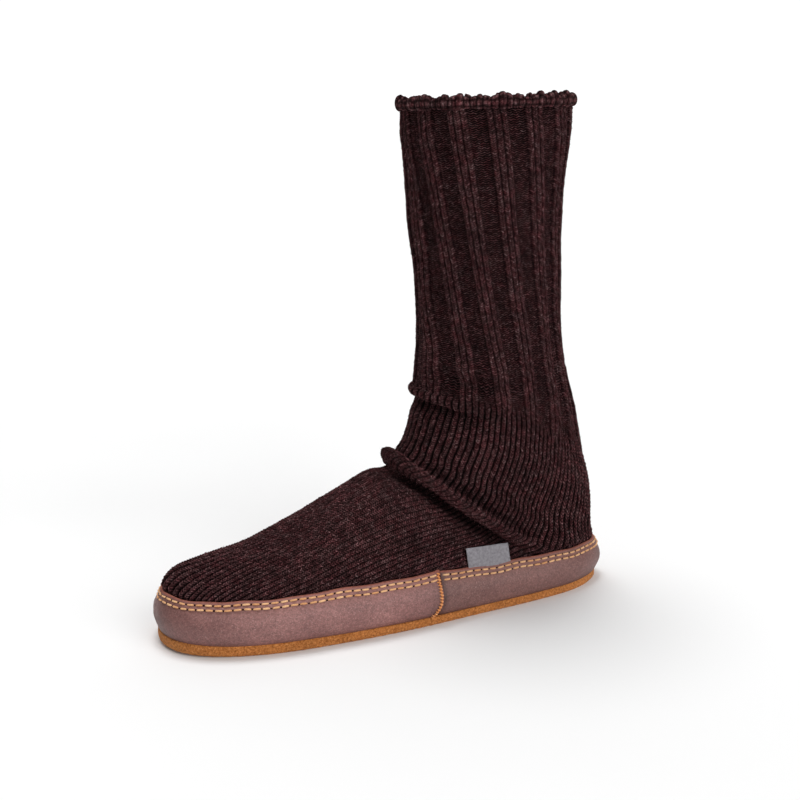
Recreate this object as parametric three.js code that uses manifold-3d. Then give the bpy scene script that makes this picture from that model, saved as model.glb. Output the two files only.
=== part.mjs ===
// Slipper sock for the left foot: knitted upper, leather side band, suede sole, padded insole, bare label.
// Millimetres. +X toward the toe, +Y toward the outer side of the foot, +Z up; the sole stands on Z = 0.
import * as THREE from 'three';
import Module from 'manifold-3d';

const wasm = await Module();
wasm.setup();

const SIZE = {
  length: 272,        // heel to toe over the band
  heelX: -1,          // back of the band
  collar: 288,        // height of the knitted collar
  wall: 3,            // thickness of the knit
  leather: 1.8,       // thickness of the band
  gap: 0.3,           // clearance between pieces
  soleThick: 4.8,
  soleInset: 4.1,     // sole edge inside the widest line of the band
  soleRound: 1.3,     // rounding of the sole's lower edge
  toeSpring: 1.5,
  widestZ: 14,        // height of the widest line of the band
  bulge: 4,           // how far the band swells past its stitched top edge
  bottomZ: -3,        // where the rounded foot form would close under the sole
  insoleThick: 6,
  seamX: 118.5,       // side seam between the two band pieces
  labelThick: 0.9,
};

// plan outline at the band's widest line; "at" is a fraction of the length from the heel, cosine spaced
const OUTLINE = [
  { at: 0.0, lateral: 0, medial: 0 },
  { at: 0.1, lateral: 14.1, medial: 14.1 },
  { at: 0.2, lateral: 26.9, medial: 26.6 },
  { at: 0.3, lateral: 33.8, medial: 32.2 },
  { at: 0.4, lateral: 38.9, medial: 34 },
  { at: 0.5, lateral: 44.3, medial: 37.6 },
  { at: 0.6, lateral: 46.2, medial: 45 },
  { at: 0.7, lateral: 44.4, medial: 48.3 },
  { at: 0.8, lateral: 36.1, medial: 40.4 },
  { at: 0.9, lateral: 21.2, medial: 23.5 },
  { at: 1.0, lateral: 0, medial: 0 },
];

// top line of the foot from the heel cup over the instep to the toe
const DORSAL = [
  { x: 0, z: 44 }, { x: 25, z: 60 }, { x: 55, z: 76 }, { x: 85, z: 86 }, { x: 108, z: 91 },
  { x: 125, z: 89 }, { x: 141, z: 84.2 }, { x: 155, z: 77.2 }, { x: 170, z: 70 }, { x: 184, z: 62.1 },
  { x: 198, z: 55.5 }, { x: 212, z: 50.5 }, { x: 226, z: 46.8 }, { x: 240, z: 44 }, { x: 250, z: 42 },
  { x: 257, z: 39.8 }, { x: 262, z: 36.2 }, { x: 265.6, z: 30 }, { x: 268, z: 15 },
];

// level sections of the shaft: front and back of the leg, half width across it
const SHAFT = [
  { z: 10, front: 88, back: 10, half: 24 },
  { z: 40, front: 99, back: 5.2, half: 28 },
  { z: 63, front: 112, back: 6.6, half: 33 },
  { z: 79, front: 121, back: 11, half: 36 },
  { z: 94, front: 121.5, back: 14.8, half: 38 },
  { z: 110, front: 117.6, back: 19, half: 39.5 },
  { z: 128, front: 114.2, back: 23.2, half: 40 },
  { z: 150, front: 112.4, back: 26.4, half: 40 },
  { z: 175, front: 112.4, back: 28.4, half: 39.6 },
  { z: 200, front: 113.2, back: 28.4, half: 40 },
  { z: 225, front: 114.8, back: 26.7, half: 41.5 },
  { z: 256, front: 117, back: 23.5, half: 44 },
  { z: 288, front: 119.8, back: 19.2, half: 47 },
  { z: 300, front: 120.6, back: 18, half: 48 },
];

// height of the band's top edge along the foot
const BAND_TOP = [
  { x: -60, z: 24 }, { x: 0, z: 25 }, { x: 40, z: 26.6 }, { x: 80, z: 28 }, { x: 120, z: 28.8 }, { x: 165, z: 28.9 },
  { x: 215, z: 28.8 }, { x: 270, z: 29 }, { x: 330, z: 29 },
];

// planes across the knitted tube from the toe to the collar: upper (dx, dz) and lower (px, pz) end of each
const STATIONS = [
  { dx: 267, dz: 5, px: 258, pz: -1.5 },
  { dx: 268.5, dz: 16, px: 251, pz: -3 },
  { dx: 266, dz: 29, px: 243, pz: -3 },
  { dx: 259, dz: 39, px: 233, pz: -3 },
  { dx: 247, dz: 44, px: 221, pz: -3 },
  { dx: 226, dz: 49, px: 203, pz: -3 },
  { dx: 198, dz: 57, px: 182, pz: -3 },
  { dx: 170, dz: 70, px: 158, pz: -3 },
  { dx: 150, dz: 80, px: 128, pz: -3 },
  { dx: 140, dz: 88, px: 84, pz: -3 },
  { dx: 136, dz: 94, px: 28, pz: -2 },
  { dx: 129, dz: 102, px: 2, pz: 22 },
  { dx: 122, dz: 113, px: 3, pz: 56 },
  { dx: 118, dz: 127, px: 10, pz: 90 },
  { dx: 115, dz: 143, px: 17, pz: 122 },
  { dx: 114.5, dz: 166, px: 23, pz: 157 },
  { dx: 115.3, dz: 196, px: 24, pz: 192 },
  { dx: 117, dz: 226, px: 22, pz: 225 },
  { dx: 119.5, dz: 257, px: 18.6, pz: 257 },
  { dx: 122.3, dz: 288, px: 14.3, pz: 288 },
];

// soft rolls where the tube bends at the ankle: station, how far round the tube, rise, trough before it, width
const FOLDS = [
  { name: 'instep roll', station: 9.98, reach: 0.62, rise: 9, trough: 1.6, width: 0.45 },
  { name: 'ankle roll', station: 12.95, reach: 0.5, rise: 3.2, trough: 1.0, width: 0.28 },
];

// colour, roughness and metalness of each piece
const LOOK = {
  outsole: { color: 0xa3673c, roughness: 0.95, metalness: 0 },
  band_front: { color: 0x84615e, roughness: 0.5, metalness: 0 },
  band_rear: { color: 0x7e5c57, roughness: 0.5, metalness: 0 },
  sock: { color: 0x2f1d1e, roughness: 1, metalness: 0 },
  insole: { color: 0x4d3a32, roughness: 0.95, metalness: 0 },
  label_tab: { color: 0x7d8084, roughness: 0.85, metalness: 0 },
};

// smooth curve through the rows of a table
function curve(rows, key, value, warp = (k) => k) {
  const k = rows.map((r) => warp(r[key]));
  const v = rows.map((r) => r[value]);
  const n = k.length;
  const m = v.map((_, i) => {
    if (i === 0) return (v[1] - v[0]) / (k[1] - k[0]);
    if (i === n - 1) return (v[i] - v[i - 1]) / (k[i] - k[i - 1]);
    const a = k[i] - k[i - 1], b = k[i + 1] - k[i];
    return ((v[i] - v[i - 1]) / a * b + (v[i + 1] - v[i]) / b * a) / (a + b);
  });
  return (x) => {
    const w = warp(x);
    let i = 0;
    while (i < n - 2 && w > k[i + 1]) i += 1;
    const h = k[i + 1] - k[i];
    const t = Math.min(1, Math.max(0, (w - k[i]) / h));
    const t2 = t * t, t3 = t2 * t;
    return (2 * t3 - 3 * t2 + 1) * v[i] + (t3 - 2 * t2 + t) * h * m[i]
      + (3 * t2 - 2 * t3) * v[i + 1] + (t3 - t2) * h * m[i + 1];
  };
}

const toeEnd = 268.4;
const dorsal = curve(DORSAL, 'x', 'z', (x) => -Math.sqrt(Math.max(0, 1 - x / toeEnd)));
const lateral = curve(OUTLINE, 'at', 'lateral');
const medial = curve(OUTLINE, 'at', 'medial');
const front = curve(SHAFT, 'z', 'front');
const back = curve(SHAFT, 'z', 'back');
const shaftHalf = curve(SHAFT, 'z', 'half');
const stationRows = STATIONS.map((s, i) => ({ i, ...s }));
const plane = ['dx', 'dz', 'px', 'pz'].map((c) => curve(stationRows, 'i', c));

// half width of the plan outline drawn in by an inset, at a fraction of its length
function halfWidth(t, inset, side) {
  const at = Math.acos(1 - 2 * Math.min(1, Math.max(0, t))) / Math.PI;
  return (side >= 0 ? lateral(at) : medial(at)) * (1 - inset / 44);
}

// inset of the sock's outside from the widest outline, by height
function inset(z) {
  const swell = Math.exp(-(((z - SIZE.widestZ) / 9) ** 2));
  return SIZE.leather + SIZE.gap + SIZE.bulge * (1 - swell);
}

// negative inside the sock's outside form, about zero on it
function form(x, y, z) {
  let foot = 60;
  const e = inset(z);
  const t = (x - SIZE.heelX - e) / (SIZE.length - 2 * e);
  if (t > 0 && t < 1) {
    const w = Math.max(0.01, halfWidth(t, e, y));
    const up = z >= SIZE.widestZ;
    const n = up ? 2.0 : 3;
    const tall = up ? Math.max(0.5, dorsal(x) - SIZE.widestZ) : SIZE.widestZ - SIZE.bottomZ;
    const r = ((Math.abs(z - SIZE.widestZ) / tall) ** n + (Math.abs(y) / w) ** n) ** (1 / n);
    foot = (r - 1) * 36;
  }
  let leg = 60;
  if (z > 8) {
    const a = (front(z) - back(z)) / 2, c = (front(z) + back(z)) / 2;
    const r = Math.sqrt(((x - c) / a) ** 2 + (y / shaftHalf(z)) ** 2);
    leg = (r - 1) * 40;
  }
  const k = 9;
  const h = Math.max(k - Math.abs(foot - leg), 0) / k;
  return Math.min(foot, leg) - h * h * k * 0.25;
}

function outward(p) {
  const d = 0.05;
  return new THREE.Vector3(
    form(p.x + d, p.y, p.z) - form(p.x - d, p.y, p.z),
    form(p.x, p.y + d, p.z) - form(p.x, p.y - d, p.z),
    form(p.x, p.y, p.z + d) - form(p.x, p.y, p.z - d),
  ).normalize();
}

// even points round the tube at a station, from the top line by the outer side and back by the inner side
function ring(u, count) {
  const [dx, dz, px, pz] = plane.map((f) => f(u));
  const mid = new THREE.Vector3((dx + px) / 2, 0, (dz + pz) / 2);
  const up = new THREE.Vector3(dx - px, 0, dz - pz).normalize();
  const side = new THREE.Vector3(0, 1, 0);
  const half = (sign) => {
    const fine = [];
    for (let j = 0; j <= 60; j += 1) {
      const a = Math.PI * j / 60;
      const dir = up.clone().multiplyScalar(Math.cos(a)).addScaledVector(side, sign * Math.sin(a));
      let lo = 0, hi = 150;
      for (let k = 0; k < 34; k += 1) {
        const t = (lo + hi) / 2;
        const q = mid.clone().addScaledVector(dir, t);
        if (form(q.x, q.y + sign * 1e-9, q.z) < 0) lo = t; else hi = t;
      }
      fine.push(mid.clone().addScaledVector(dir, lo));
    }
    const run = [0];
    for (let j = 1; j < fine.length; j += 1) run.push(run[j - 1] + fine[j].distanceTo(fine[j - 1]));
    const out = [];
    for (let j = 0, i = 0; j <= count / 2; j += 1) {
      const s = run[60] * j / (count / 2);
      while (i < 59 && run[i + 1] < s) i += 1;
      out.push(fine[i].clone().lerp(fine[i + 1], (s - run[i]) / (run[i + 1] - run[i])));
    }
    return out;
  };
  const outer = half(1), inner = half(-1);
  return outer.concat(inner.slice(1, -1).reverse());
}

// rise of the folds at a station and a place round the tube (0 on the top line, 1 at the sole or the back)
function foldRise(u, around) {
  let rise = 0;
  for (const f of FOLDS) {
    const fade = Math.max(0, 1 - (around / f.reach) ** 2);
    const s = (u - f.station) / f.width;
    rise += fade * fade * (f.rise * Math.exp(-s * s) - f.trough * Math.exp(-((s + 1.9) ** 2)));
  }
  return rise;
}

const AROUND = 40;
const STEPS = [];
const last = STATIONS.length - 1;
for (let u = 0; u < last - 1e-6;) {
  STEPS.push(u);
  const nearFold = FOLDS.some((f) => u > f.station - 0.95 && u < f.station + 0.65);
  u += nearFold ? 0.22 : u < 4 ? 0.5 : u > 14 ? 0.62 : 0.48;
}
if (last - STEPS[STEPS.length - 1] < 0.2) STEPS.pop();
STEPS.push(last);
const RINGS = STEPS.map((u) => ring(u, AROUND).map((p, j) => {
  const around = Math.min(j, AROUND - j) / (AROUND / 2);
  return { p, n: outward(p), rise: foldRise(u, around) };
}));

// closed tube lying a distance off the sock's outside; lift carries the last ring past the collar
function tube(off, lift, folded) {
  const verts = [], tris = [];
  RINGS.forEach((r, i) => r.forEach(({ p, n, rise }) => {
    const q = p.clone().addScaledVector(n, off + (folded ? rise : 0));
    if (i === RINGS.length - 1) q.z = SIZE.collar + lift;
    verts.push(q.x, q.y, q.z);
  }));
  const rows = RINGS.length;
  for (let i = 0; i < rows - 1; i += 1) {
    for (let j = 0; j < AROUND; j += 1) {
      const k = (j + 1) % AROUND;
      const a = i * AROUND + j, b = i * AROUND + k, c = a + AROUND, d = b + AROUND;
      tris.push(a, b, d, a, d, c);
    }
  }
  const cap = (row, flip) => {
    const c = new THREE.Vector3();
    for (let j = 0; j < AROUND; j += 1) {
      c.x += verts[3 * (row * AROUND + j)]; c.y += verts[3 * (row * AROUND + j) + 1]; c.z += verts[3 * (row * AROUND + j) + 2];
    }
    c.divideScalar(AROUND);
    const id = verts.length / 3;
    verts.push(c.x, c.y, c.z);
    for (let j = 0; j < AROUND; j += 1) {
      const a = row * AROUND + j, b = row * AROUND + (j + 1) % AROUND;
      if (flip) tris.push(id, b, a); else tris.push(id, a, b);
    }
  };
  cap(0, true);
  cap(rows - 1, false);
  return toManifold(verts, tris);
}

function toManifold(verts, tris) {
  let volume = 0;
  for (let i = 0; i < tris.length; i += 3) {
    const [a, b, c] = [0, 1, 2].map((k) => new THREE.Vector3().fromArray(verts, 3 * tris[i + k]));
    volume += a.dot(b.cross(c));
  }
  const t = Uint32Array.from(tris);
  if (volume < 0) for (let i = 0; i < t.length; i += 3) [t[i], t[i + 1]] = [t[i + 1], t[i]];
  return new wasm.Manifold(new wasm.Mesh({ numProp: 3, vertProperties: Float32Array.from(verts), triVerts: t }));
}

// everything over a line of heights along the foot, up to a level
function over(line, level) {
  const v = [], t = [];
  for (const { x, z } of line) for (const y of [-120, 120]) v.push(x, y, z, x, y, level);
  const quad = (a, b, c, d) => t.push(a, b, c, a, c, d);
  const n = line.length;
  for (let i = 0; i < n - 1; i += 1) {
    const a = 4 * i, b = a + 4;
    quad(a, a + 2, b + 2, b); quad(a + 1, b + 1, b + 3, a + 3);
    quad(a, b, b + 1, a + 1); quad(a + 2, a + 3, b + 3, b + 2);
  }
  const e = 4 * (n - 1);
  quad(0, 1, 3, 2); quad(e, e + 2, e + 3, e + 1);
  return toManifold(v, t);
}

function block(x0, x1, y0, y1, z0, z1) {
  const v = [], t = [0, 2, 1, 1, 2, 3, 4, 5, 6, 5, 7, 6, 0, 1, 4, 1, 5, 4, 2, 6, 3, 3, 6, 7, 0, 4, 2, 2, 4, 6, 1, 3, 5, 3, 7, 5];
  for (const z of [z0, z1]) for (const y of [y0, y1]) for (const x of [x0, x1]) v.push(x, y, z);
  return toManifold(v, t);
}

// slab between loops of the plan outline: each level has a height and an inset
function slab(levels, count) {
  const verts = [], tris = [];
  const loop = 2 * count;
  levels.forEach(({ z, in: e }) => {
    for (let j = 0; j < loop; j += 1) {
      const k = j <= count ? j : loop - j;
      const t = 0.5 - 0.5 * Math.cos(Math.PI * k / count);
      const side = j <= count ? 1 : -1;
      verts.push(SIZE.heelX + e + (SIZE.length - 2 * e) * t, side * halfWidth(t, e, side), z);
    }
  });
  for (let i = 0; i < levels.length - 1; i += 1) {
    for (let j = 0; j < loop; j += 1) {
      const k = (j + 1) % loop;
      const a = i * loop + j, b = i * loop + k;
      tris.push(a, a + loop, b, b, a + loop, b + loop);
    }
  }
  const face = (base, flip) => {
    const put = (a, b, c) => (flip ? tris.push(base + a, base + c, base + b) : tris.push(base + a, base + b, base + c));
    for (let j = 0; j < count; j += 1) {
      const a = j, b = j + 1, c = (loop - j) % loop, d = loop - j - 1;
      if (j === 0) put(a, b, d);
      else if (j === count - 1) put(a, b, c);
      else { put(a, b, d); put(a, d, c); }
    }
  };
  face(0, false);
  face((levels.length - 1) * loop, true);
  return toManifold(verts, tris);
}

const bandFloor = SIZE.soleThick + SIZE.gap;
const below = block(-50, 330, -120, 120, -80, bandFloor);
const bandTop = (x) => {
  const i = Math.max(1, BAND_TOP.findIndex((r) => r.x >= x));
  const a = BAND_TOP[i - 1], b = BAND_TOP[i];
  return a.z + (b.z - a.z) * (x - a.x) / (b.x - a.x);
};
const aboveBand = over(BAND_TOP, 420);

const outside = tube(0, 0, true);
const cavity = tube(-SIZE.wall, 6, true);
const sock = outside.subtract(cavity).subtract(below);

const band = tube(SIZE.gap + SIZE.leather, 0, false).subtract(tube(SIZE.gap, 0, false)).subtract(below).subtract(aboveBand);
const seam = SIZE.gap / 2;
const bandFront = band.subtract(block(-60, SIZE.seamX + seam, -120, 120, -90, 430));
const bandRear = band.subtract(block(SIZE.seamX - seam, 340, -120, 120, -90, 430));

const outsole = slab([
  { z: 0, in: SIZE.soleInset + SIZE.soleRound },
  { z: SIZE.soleRound * 0.35, in: SIZE.soleInset + SIZE.soleRound * 0.35 },
  { z: SIZE.soleRound, in: SIZE.soleInset },
  { z: SIZE.soleThick, in: SIZE.soleInset },
], 44);

// the padded footbed follows the inside of the knit
const underTuck = (z) => 44 * (1 - (1 - ((SIZE.widestZ - z) / (SIZE.widestZ - SIZE.bottomZ)) ** 3) ** (1 / 3));
const footbed = (z, more) => ({ z, in: inset(z) + underTuck(z) + SIZE.wall + SIZE.gap + more });
const insole = slab([
  footbed(bandFloor, 2.4),
  footbed(bandFloor + SIZE.insoleThick - 1.2, 1.4),
  footbed(bandFloor + SIZE.insoleThick, 2.6),
], 36);

// bare label lying on the sock just above the band
function label() {
  const cols = 8, rows = 4;
  const LABEL = { x0: 71.5, x1: 98.5, tall: 12 };
  const verts = [], tris = [];
  for (const off of [SIZE.gap + 0.15, SIZE.gap + 0.15 + SIZE.labelThick]) {
    for (let r = 0; r <= rows; r += 1) {
      for (let c = 0; c <= cols; c += 1) {
        const x = LABEL.x0 + (LABEL.x1 - LABEL.x0) * c / cols;
        const z = bandTop(x) + SIZE.gap + 0.2 + LABEL.tall * r / rows;
        let lo = 0, hi = 80;
        for (let k = 0; k < 34; k += 1) { const y = (lo + hi) / 2; if (form(x, y, z) < 0) lo = y; else hi = y; }
        const p = new THREE.Vector3(x, lo, z);
        const n = outward(p); n.x = 0; n.normalize();
        p.addScaledVector(n, off);
        verts.push(p.x, p.y, p.z);
      }
    }
  }
  const w = cols + 1, size = w * (rows + 1);
  const quad = (a, b, c, d) => tris.push(a, b, c, a, c, d);
  for (let r = 0; r < rows; r += 1) {
    for (let c = 0; c < cols; c += 1) {
      const a = r * w + c;
      quad(a, a + 1, a + 1 + w, a + w);
      quad(size + a, size + a + w, size + a + 1 + w, size + a + 1);
    }
  }
  for (let c = 0; c < cols; c += 1) {
    const t = rows * w + c;
    quad(c, size + c, size + c + 1, c + 1);
    quad(t, t + 1, size + t + 1, size + t);
  }
  for (let r = 0; r < rows; r += 1) {
    const a = r * w, b = r * w + cols;
    quad(a, a + w, size + a + w, size + a);
    quad(b, size + b, size + b + w, b + w);
  }
  return toManifold(verts, tris).subtract(tube(SIZE.gap, 0, true));
}

// the sole and all above it lift a little toward the toe
const spring = (x) => SIZE.toeSpring * Math.min(1, Math.max(0, (x - 212) / 58)) ** 2;

const pieces = { outsole, band_front: bandFront, band_rear: bandRear, sock, insole, label_tab: label() };
const group = new THREE.Group();
const whole = new THREE.Box3();
for (const [name, solid] of Object.entries(pieces)) {
  const m = solid.getMesh();
  const at = [];
  for (let i = 0; i < m.vertProperties.length; i += m.numProp) {
    const [x, y, z] = m.vertProperties.subarray(i, i + 3);
    at.push(x, y, z + spring(x));
  }
  const g = new THREE.BufferGeometry();
  g.setAttribute('position', new THREE.Float32BufferAttribute(at, 3));
  g.setIndex(Array.from(m.triVerts));
  g.computeBoundingBox();
  whole.union(g.boundingBox);
  g.computeVertexNormals();
  const mesh = new THREE.Mesh(g, new THREE.MeshStandardMaterial(LOOK[name]));
  mesh.name = name;
  group.add(mesh);
}
const middle = whole.getCenter(new THREE.Vector3());
group.children.forEach((mesh) => mesh.geometry.translate(-middle.x, -middle.y, -whole.min.z));

export default group;
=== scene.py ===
import math

import bpy
import numpy as np
from mathutils import Matrix, Vector


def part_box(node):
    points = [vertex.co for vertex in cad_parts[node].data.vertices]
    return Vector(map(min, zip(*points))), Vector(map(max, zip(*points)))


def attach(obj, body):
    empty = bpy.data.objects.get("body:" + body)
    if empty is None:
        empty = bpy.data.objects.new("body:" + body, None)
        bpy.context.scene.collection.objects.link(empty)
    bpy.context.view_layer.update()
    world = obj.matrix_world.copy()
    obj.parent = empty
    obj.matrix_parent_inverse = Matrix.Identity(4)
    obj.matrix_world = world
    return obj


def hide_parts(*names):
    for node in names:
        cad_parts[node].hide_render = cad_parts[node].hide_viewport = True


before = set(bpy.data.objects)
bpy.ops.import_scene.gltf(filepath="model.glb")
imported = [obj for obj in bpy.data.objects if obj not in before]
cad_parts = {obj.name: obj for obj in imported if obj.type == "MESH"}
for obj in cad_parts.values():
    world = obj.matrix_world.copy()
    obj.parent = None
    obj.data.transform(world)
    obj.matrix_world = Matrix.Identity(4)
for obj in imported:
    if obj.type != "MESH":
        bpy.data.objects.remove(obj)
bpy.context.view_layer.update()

rng = np.random.default_rng(7)

# ---------------------------------------------------------------- sizes (mm, heel at x = 0, toe at +x)
LENGTH, HEEL_X = 272.0, -1.0
COLLAR = 288.0
LEATHER, GAP, BULGE = 1.8, 0.3, 4.0
WIDEST_Z, BOTTOM_Z = 14.0, -3.0
SOLE_THICK, SOLE_INSET = 4.8, 4.1
BAND_FLOOR = SOLE_THICK + GAP
SEAM_X = 118.5
WALES, PER_REPEAT = 84, 6
TOE_END = 268.4

OUTLINE_AT = np.linspace(0, 1, 11)
OUTLINE_LATERAL = [0, 14.1, 26.9, 33.8, 38.9, 44.3, 46.2, 44.4, 36.1, 21.2, 0]
OUTLINE_MEDIAL = [0, 14.1, 26.6, 32.2, 34, 37.6, 45, 48.3, 40.4, 23.5, 0]
DORSAL_X = [0, 25, 55, 85, 108, 125, 141, 155, 170, 184, 198, 212, 226, 240, 250, 257, 262, 265.6, 268]
DORSAL_Z = [44, 60, 76, 86, 91, 89, 84.2, 77.2, 70, 62.1, 55.5, 50.5, 46.8, 44, 42, 39.8, 36.2, 30, 15]
SHAFT_Z = [10, 40, 63, 79, 94, 110, 128, 150, 175, 200, 225, 256, 288, 300]
SHAFT_FRONT = [88, 99, 112, 121, 121.5, 117.6, 114.2, 112.4, 112.4, 113.2, 114.8, 117, 119.8, 120.6]
SHAFT_BACK = [10, 5.2, 6.6, 11, 14.8, 19, 23.2, 26.4, 28.4, 28.4, 26.7, 23.5, 19.2, 18]
SHAFT_HALF = [24, 28, 33, 36, 38, 39.5, 40, 40, 39.6, 40, 41.5, 44, 47, 48]
BAND_X = [-60, 0, 14, 27, 42, 58, 80, 100, 124, 150, 176, 204, 230, 245, 258, 270, 330]
BAND_Z = [23.4, 23.8, 25.6, 27.0, 27.3, 27.2, 27.6, 28.4, 29.4, 30.0, 29.9, 29.2, 28.3, 28.0, 28.2, 28.6, 29]
STATIONS = np.array([
    [267, 5, 258, -1.5], [268.5, 16, 251, -3], [266, 29, 243, -3], [259, 39, 233, -3], [247, 44, 221, -3],
    [226, 49, 203, -3], [198, 57, 182, -3], [170, 70, 158, -3], [150, 80, 128, -3], [140, 88, 84, -3],
    [136, 94, 28, -2], [129, 102, 2, 22], [122, 113, 3, 56], [118, 127, 10, 90], [115, 143, 17, 122],
    [114.5, 166, 23, 157], [115.3, 196, 24, 192], [117, 226, 22, 225], [119.5, 257, 18.6, 257], [122.3, 288, 14.3, 288],
])


def curve(keys, values, warp=lambda k: k):
    k = warp(np.asarray(keys, float))
    v = np.asarray(values, float)
    d = np.diff(v) / np.diff(k)
    h = np.diff(k)
    m = np.empty_like(v)
    m[0], m[-1] = d[0], d[-1]
    m[1:-1] = (d[:-1] * h[1:] + d[1:] * h[:-1]) / (h[:-1] + h[1:])

    def at(x):
        w = warp(np.asarray(x, float))
        i = np.clip(np.searchsorted(k, w, side="left") - 1, 0, len(k) - 2)
        hh = h[i]
        t = np.clip((w - k[i]) / hh, 0, 1)
        t2, t3 = t * t, t * t * t
        return (2 * t3 - 3 * t2 + 1) * v[i] + (t3 - 2 * t2 + t) * hh * m[i] + (3 * t2 - 2 * t3) * v[i + 1] + (t3 - t2) * hh * m[i + 1]

    return at


lateral = curve(OUTLINE_AT, OUTLINE_LATERAL)
medial = curve(OUTLINE_AT, OUTLINE_MEDIAL)
dorsal = curve(DORSAL_X, DORSAL_Z, lambda x: -np.sqrt(np.maximum(0, 1 - x / TOE_END)))
shaft_front = curve(SHAFT_Z, SHAFT_FRONT)
shaft_back = curve(SHAFT_Z, SHAFT_BACK)
shaft_half = curve(SHAFT_Z, SHAFT_HALF)
station = [curve(np.arange(20), STATIONS[:, c]) for c in range(4)]
band_top = curve(BAND_X, BAND_Z)


def smooth(a, b, x):
    t = np.clip((x - a) / (b - a), 0, 1)
    return t * t * (3 - 2 * t)


def half_width(t, inset, y):
    at = np.arccos(1 - 2 * np.clip(t, 0, 1)) / np.pi
    return np.where(y >= 0, lateral(at), medial(at)) * (1 - inset / 44)


def inset_at(z):
    return LEATHER + GAP + BULGE * (1 - np.exp(-(((z - WIDEST_Z) / 9) ** 2)))


def form(x, y, z):
    """Negative inside the sock's outside form, about zero on it."""
    e = inset_at(z)
    t = (x - HEEL_X - e) / (LENGTH - 2 * e)
    w = np.maximum(0.01, half_width(t, e, y))
    up = z >= WIDEST_Z
    n = np.where(up, 2.0, 3.0)
    tall = np.where(up, np.maximum(0.5, dorsal(x) - WIDEST_Z), WIDEST_Z - BOTTOM_Z)
    r = ((np.abs(z - WIDEST_Z) / tall) ** n + (np.abs(y) / w) ** n) ** (1 / n)
    foot = np.where((t > 0) & (t < 1), (r - 1) * 36, 60.0)
    f, b = shaft_front(z), shaft_back(z)
    r = np.sqrt(((x - (f + b) / 2) / ((f - b) / 2)) ** 2 + (y / shaft_half(z)) ** 2)
    leg = np.where(z > 8, (r - 1) * 40, 60.0)
    k = 9.0
    h = np.maximum(k - np.abs(foot - leg), 0) / k
    return np.minimum(foot, leg) - h * h * k * 0.25


def outward(p):
    d = 0.05
    g = np.empty_like(p)
    for c in range(3):
        o = np.zeros(3)
        o[c] = d
        a, b = p + o, p - o
        g[..., c] = form(a[..., 0], a[..., 1], a[..., 2]) - form(b[..., 0], b[..., 1], b[..., 2])
    return g / np.maximum(1e-9, np.linalg.norm(g, axis=-1, keepdims=True))


def cast(origin, direction, far=150.0, off=0.0):
    """Distance from origin along direction to the form."""
    lo = np.zeros(np.broadcast_shapes(origin.shape, direction.shape)[:-1])
    hi = np.full_like(lo, far)
    for _ in range(32):
        t = (lo + hi) / 2
        q = origin + direction * t[..., None]
        ins = form(q[..., 0], q[..., 1] + 1e-9 * np.sign(direction[..., 1]), q[..., 2]) < off
        lo, hi = np.where(ins, t, lo), np.where(ins, hi, t)
    return lo


def rings(us, fr):
    """Points at fractions fr round the tube (0 top line, 0.25 outer side, 0.5 sole or back) for each station in us. fr is (rows, cols)."""
    dx, dz, px, pz = [s(us) for s in station]
    mid = np.stack([(dx + px) / 2, 0 * dx, (dz + pz) / 2], -1)
    up = np.stack([dx - px, 0 * dx, dz - pz], -1)
    up /= np.linalg.norm(up, axis=-1, keepdims=True)
    n = 72
    out = np.empty(fr.shape + (3,))
    halves = []
    for sign in (1, -1):
        a = np.pi * np.arange(n + 1) / n
        d = up[:, None, :] * np.cos(a)[None, :, None] + np.array([0, sign, 0.0])[None, None, :] * np.sin(a)[None, :, None]
        d[..., 1] = np.where(np.abs(d[..., 1]) < 1e-12, sign * 1e-12, d[..., 1])
        o = np.broadcast_to(mid[:, None, :], d.shape)
        halves.append(o + d * cast(o, d)[..., None])
    for i in range(len(us)):
        f = np.mod(fr[i], 1.0)
        for sign, h in zip((1, -1), halves):
            p = h[i]
            run = np.concatenate([[0], np.cumsum(np.linalg.norm(np.diff(p, axis=0), axis=1))])
            run /= run[-1]
            k = f <= 0.5 if sign > 0 else f > 0.5
            s = f[k] * 2 if sign > 0 else (1 - f[k]) * 2
            for c in range(3):
                out[i, k, c] = np.interp(s, run, p[:, c])
    return out


# ---------------------------------------------------------------- row frame
sole_low, sole_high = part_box("outsole")
_t = (np.linspace(0, 1, 4001))
_in = SOLE_INSET
_sole_y = np.max(half_width(_t, _in, np.ones_like(_t))), np.max(half_width(_t, _in, -np.ones_like(_t)))
MX = (HEEL_X + _in) - sole_low.x * 1000
MY = (_sole_y[0] - _sole_y[1]) / 2 - (sole_low.y + sole_high.y) / 2 * 1000


def spring(x):
    return 1.5 * np.clip((x - 212) / 58, 0, 1) ** 2


def row(p):
    """Shoe sizes in mm to the row frame in metres."""
    p = np.asarray(p, float)
    return np.stack([p[..., 0] - MX, p[..., 1] - MY, p[..., 2] + spring(p[..., 0])], -1) / 1000


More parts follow.
